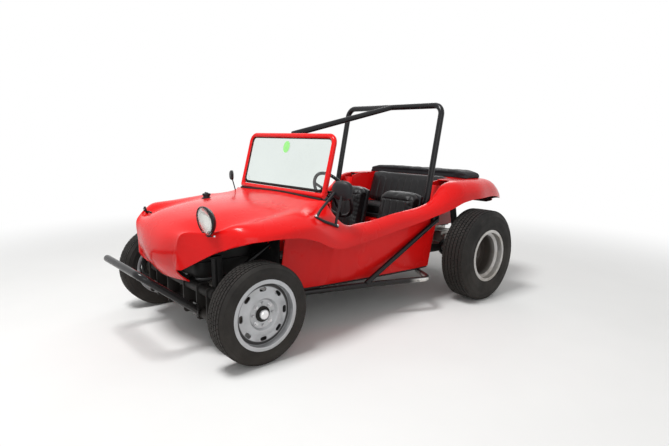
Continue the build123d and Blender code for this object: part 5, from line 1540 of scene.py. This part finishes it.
# Folded hood: layers of cloth laid in one long roll behind the bench
hood_half, hood_floor, hood_low, hood_top = 0.580, 0.940, 0.942, 1.017
hood_end_drop = 20 * MM
hood_wave = 2.2 * MM
hood_layers = [
    # y front, y back, z low, z high at the front, z high at the back
    (1.068, 1.296, 0.944, 0.968, 0.964),
    (1.072, 1.302, 0.966, 0.990, 0.982),
    (1.067, 1.290, 0.988, 1.008, 0.998),
]


def build_hood():
    pieces = []
    for k, (front, back, low, high, high_back) in enumerate(hood_layers):
        outline = rounded([(front, low), (front, high), (back, high_back), (back, low)], 0.0085, 5)
        end = hood_half - 0.004 - 0.006 * k
        pieces.append(pad_piece("layer", outline, -end, end, 61, (0.9, 0.97), hood_cloth))
    made = joined("folded_hood_roll", pieces)
    swelled(made, 0.008, 0.010, 3.0)
    co = np.array([v.co for v in made.data.vertices])
    x, y, z = co.T
    z = z - soft_step(np.abs(x), 0.42, 0.58) * hood_end_drop * (z - hood_floor) / (hood_top - hood_floor)
    wave = np.sin(x * 31 + 3 * np.sin(x * 7)) * 0.6 + np.sin(x * 57 + y * 20) * 0.4
    z = z + wave * hood_wave * soft_step(z, 0.955, 0.985)
    co[:, 2] = np.maximum(np.minimum(z, hood_top), hood_low)
    set_points(made.data, co)
    place(soften(made), "chassis", ["folded_hood"], "hood_cloth")


build_hood()


# Floor, light and camera

def area_light(name, place_at, aim_at, size, power):
    data = bpy.data.lights.new(name, "AREA")
    data.shape = "DISK"
    data.size = size
    data.energy = power
    lamp = new_object(name, data)
    lamp.location = place_at
    lamp.rotation_mode = "QUATERNION"
    lamp.rotation_quaternion = (Vector(aim_at) - Vector(place_at)).to_track_quat("-Z", "Y")


white_colour = (1, 1, 1, 1)
floor_radius = 60
floor_fade_from, floor_fade_to = 2.4, 5.5


def build_floor():
    material, tree, shader, _ = toned("pale_floor", (0.80, 0.80, 0.79), (0.77, 0.77, 0.76), 0.6,
                                      (40.0, 0.05))
    fill(shader, Roughness=0.9)
    # Far from the object the floor turns white and joins the background
    position = node(tree, "ShaderNodeTexCoord")
    reach = node(tree, "ShaderNodeVectorMath", operation="LENGTH")
    fade = node(tree, "ShaderNodeMapRange", interpolation_type="SMOOTHSTEP", in_From_Min=floor_fade_from,
                in_From_Max=floor_fade_to)
    white = node(tree, "ShaderNodeEmission", in_Strength=1.0, in_Color=white_colour)
    blend = node(tree, "ShaderNodeMixShader")
    wire(tree, (position, "Object", reach, 0), (reach, "Value", fade, "Value"),
         (fade, "Result", blend, "Fac"), (shader, 0, blend, 1), (white, 0, blend, 2),
         (blend, 0, tree.nodes["Material Output"], "Surface"))
    points = [(0, 0, 0)] + [(floor_radius * c, floor_radius * s, 0) for c, s in turns(64)]
    faces = [(0, 1 + i, 1 + (i + 1) % 64) for i in range(64)]
    piece_from("floor", points, faces, material)


def build_world():
    # The camera, reflections and refractions see plain white, and everything else a dimmer sky
    world = bpy.data.worlds.new("pale_world")
    bpy.context.scene.world = world
    world.use_nodes = True
    tree = world.node_tree
    plain = fill(tree.nodes["Background"], Color=white_colour, Strength=0.45)
    white = node(tree, "ShaderNodeBackground", in_Strength=1.0, in_Color=white_colour)
    path = node(tree, "ShaderNodeLightPath")
    seen = node(tree, "ShaderNodeMath", operation="MAXIMUM")
    both = node(tree, "ShaderNodeMath", operation="MAXIMUM")
    mix = node(tree, "ShaderNodeMixShader")
    wire(tree, (path, "Is Camera Ray", seen, 0), (path, "Is Transmission Ray", seen, 1),
         (seen, 0, both, 0), (path, "Is Glossy Ray", both, 1), (both, 0, mix, "Fac"),
         (plain, 0, mix, 1), (white, 0, mix, 2), (mix, 0, tree.nodes["World Output"], "Surface"))


camera_at = Vector((3.0916, -2.5896, 1.3088))
camera_angles = (48.91, 9.87, 0.53)
camera_lens = 27.49


def build_camera():
    data = bpy.data.cameras.new("camera")
    camera = new_object("camera", data)
    data.sensor_width = 36.0
    data.lens = camera_lens
    data.clip_end = 300.0
    turn, pitch, roll = [math.radians(angle) for angle in camera_angles]
    forward = Vector((-math.sin(turn) * math.cos(pitch), math.cos(turn) * math.cos(pitch), -math.sin(pitch)))
    right = forward.cross(Vector((0, 0, 1))).normalized()
    up = right.cross(forward)
    level = right * math.cos(roll) + up * math.sin(roll)
    top = up * math.cos(roll) - right * math.sin(roll)
    turned = Matrix((level, top, -forward)).transposed().to_4x4()
    camera.matrix_world = Matrix.Translation(camera_at) @ turned
    bpy.context.scene.camera = camera


build_floor()
build_world()
build_camera()
area_light("key", (0.4, -2.6, 6.2), (0, 0, 0.4), 2.0, 330.0)
area_light("fill", (5.5, -3.5, 2.6), (0, 0, 0.6), 3.5, 50.0)
area_light("back", (-3.5, 5.0, 4.0), (0, 0.4, 0.6), 3.0, 60.0)
bpy.context.scene.view_settings.view_transform = "Standard"
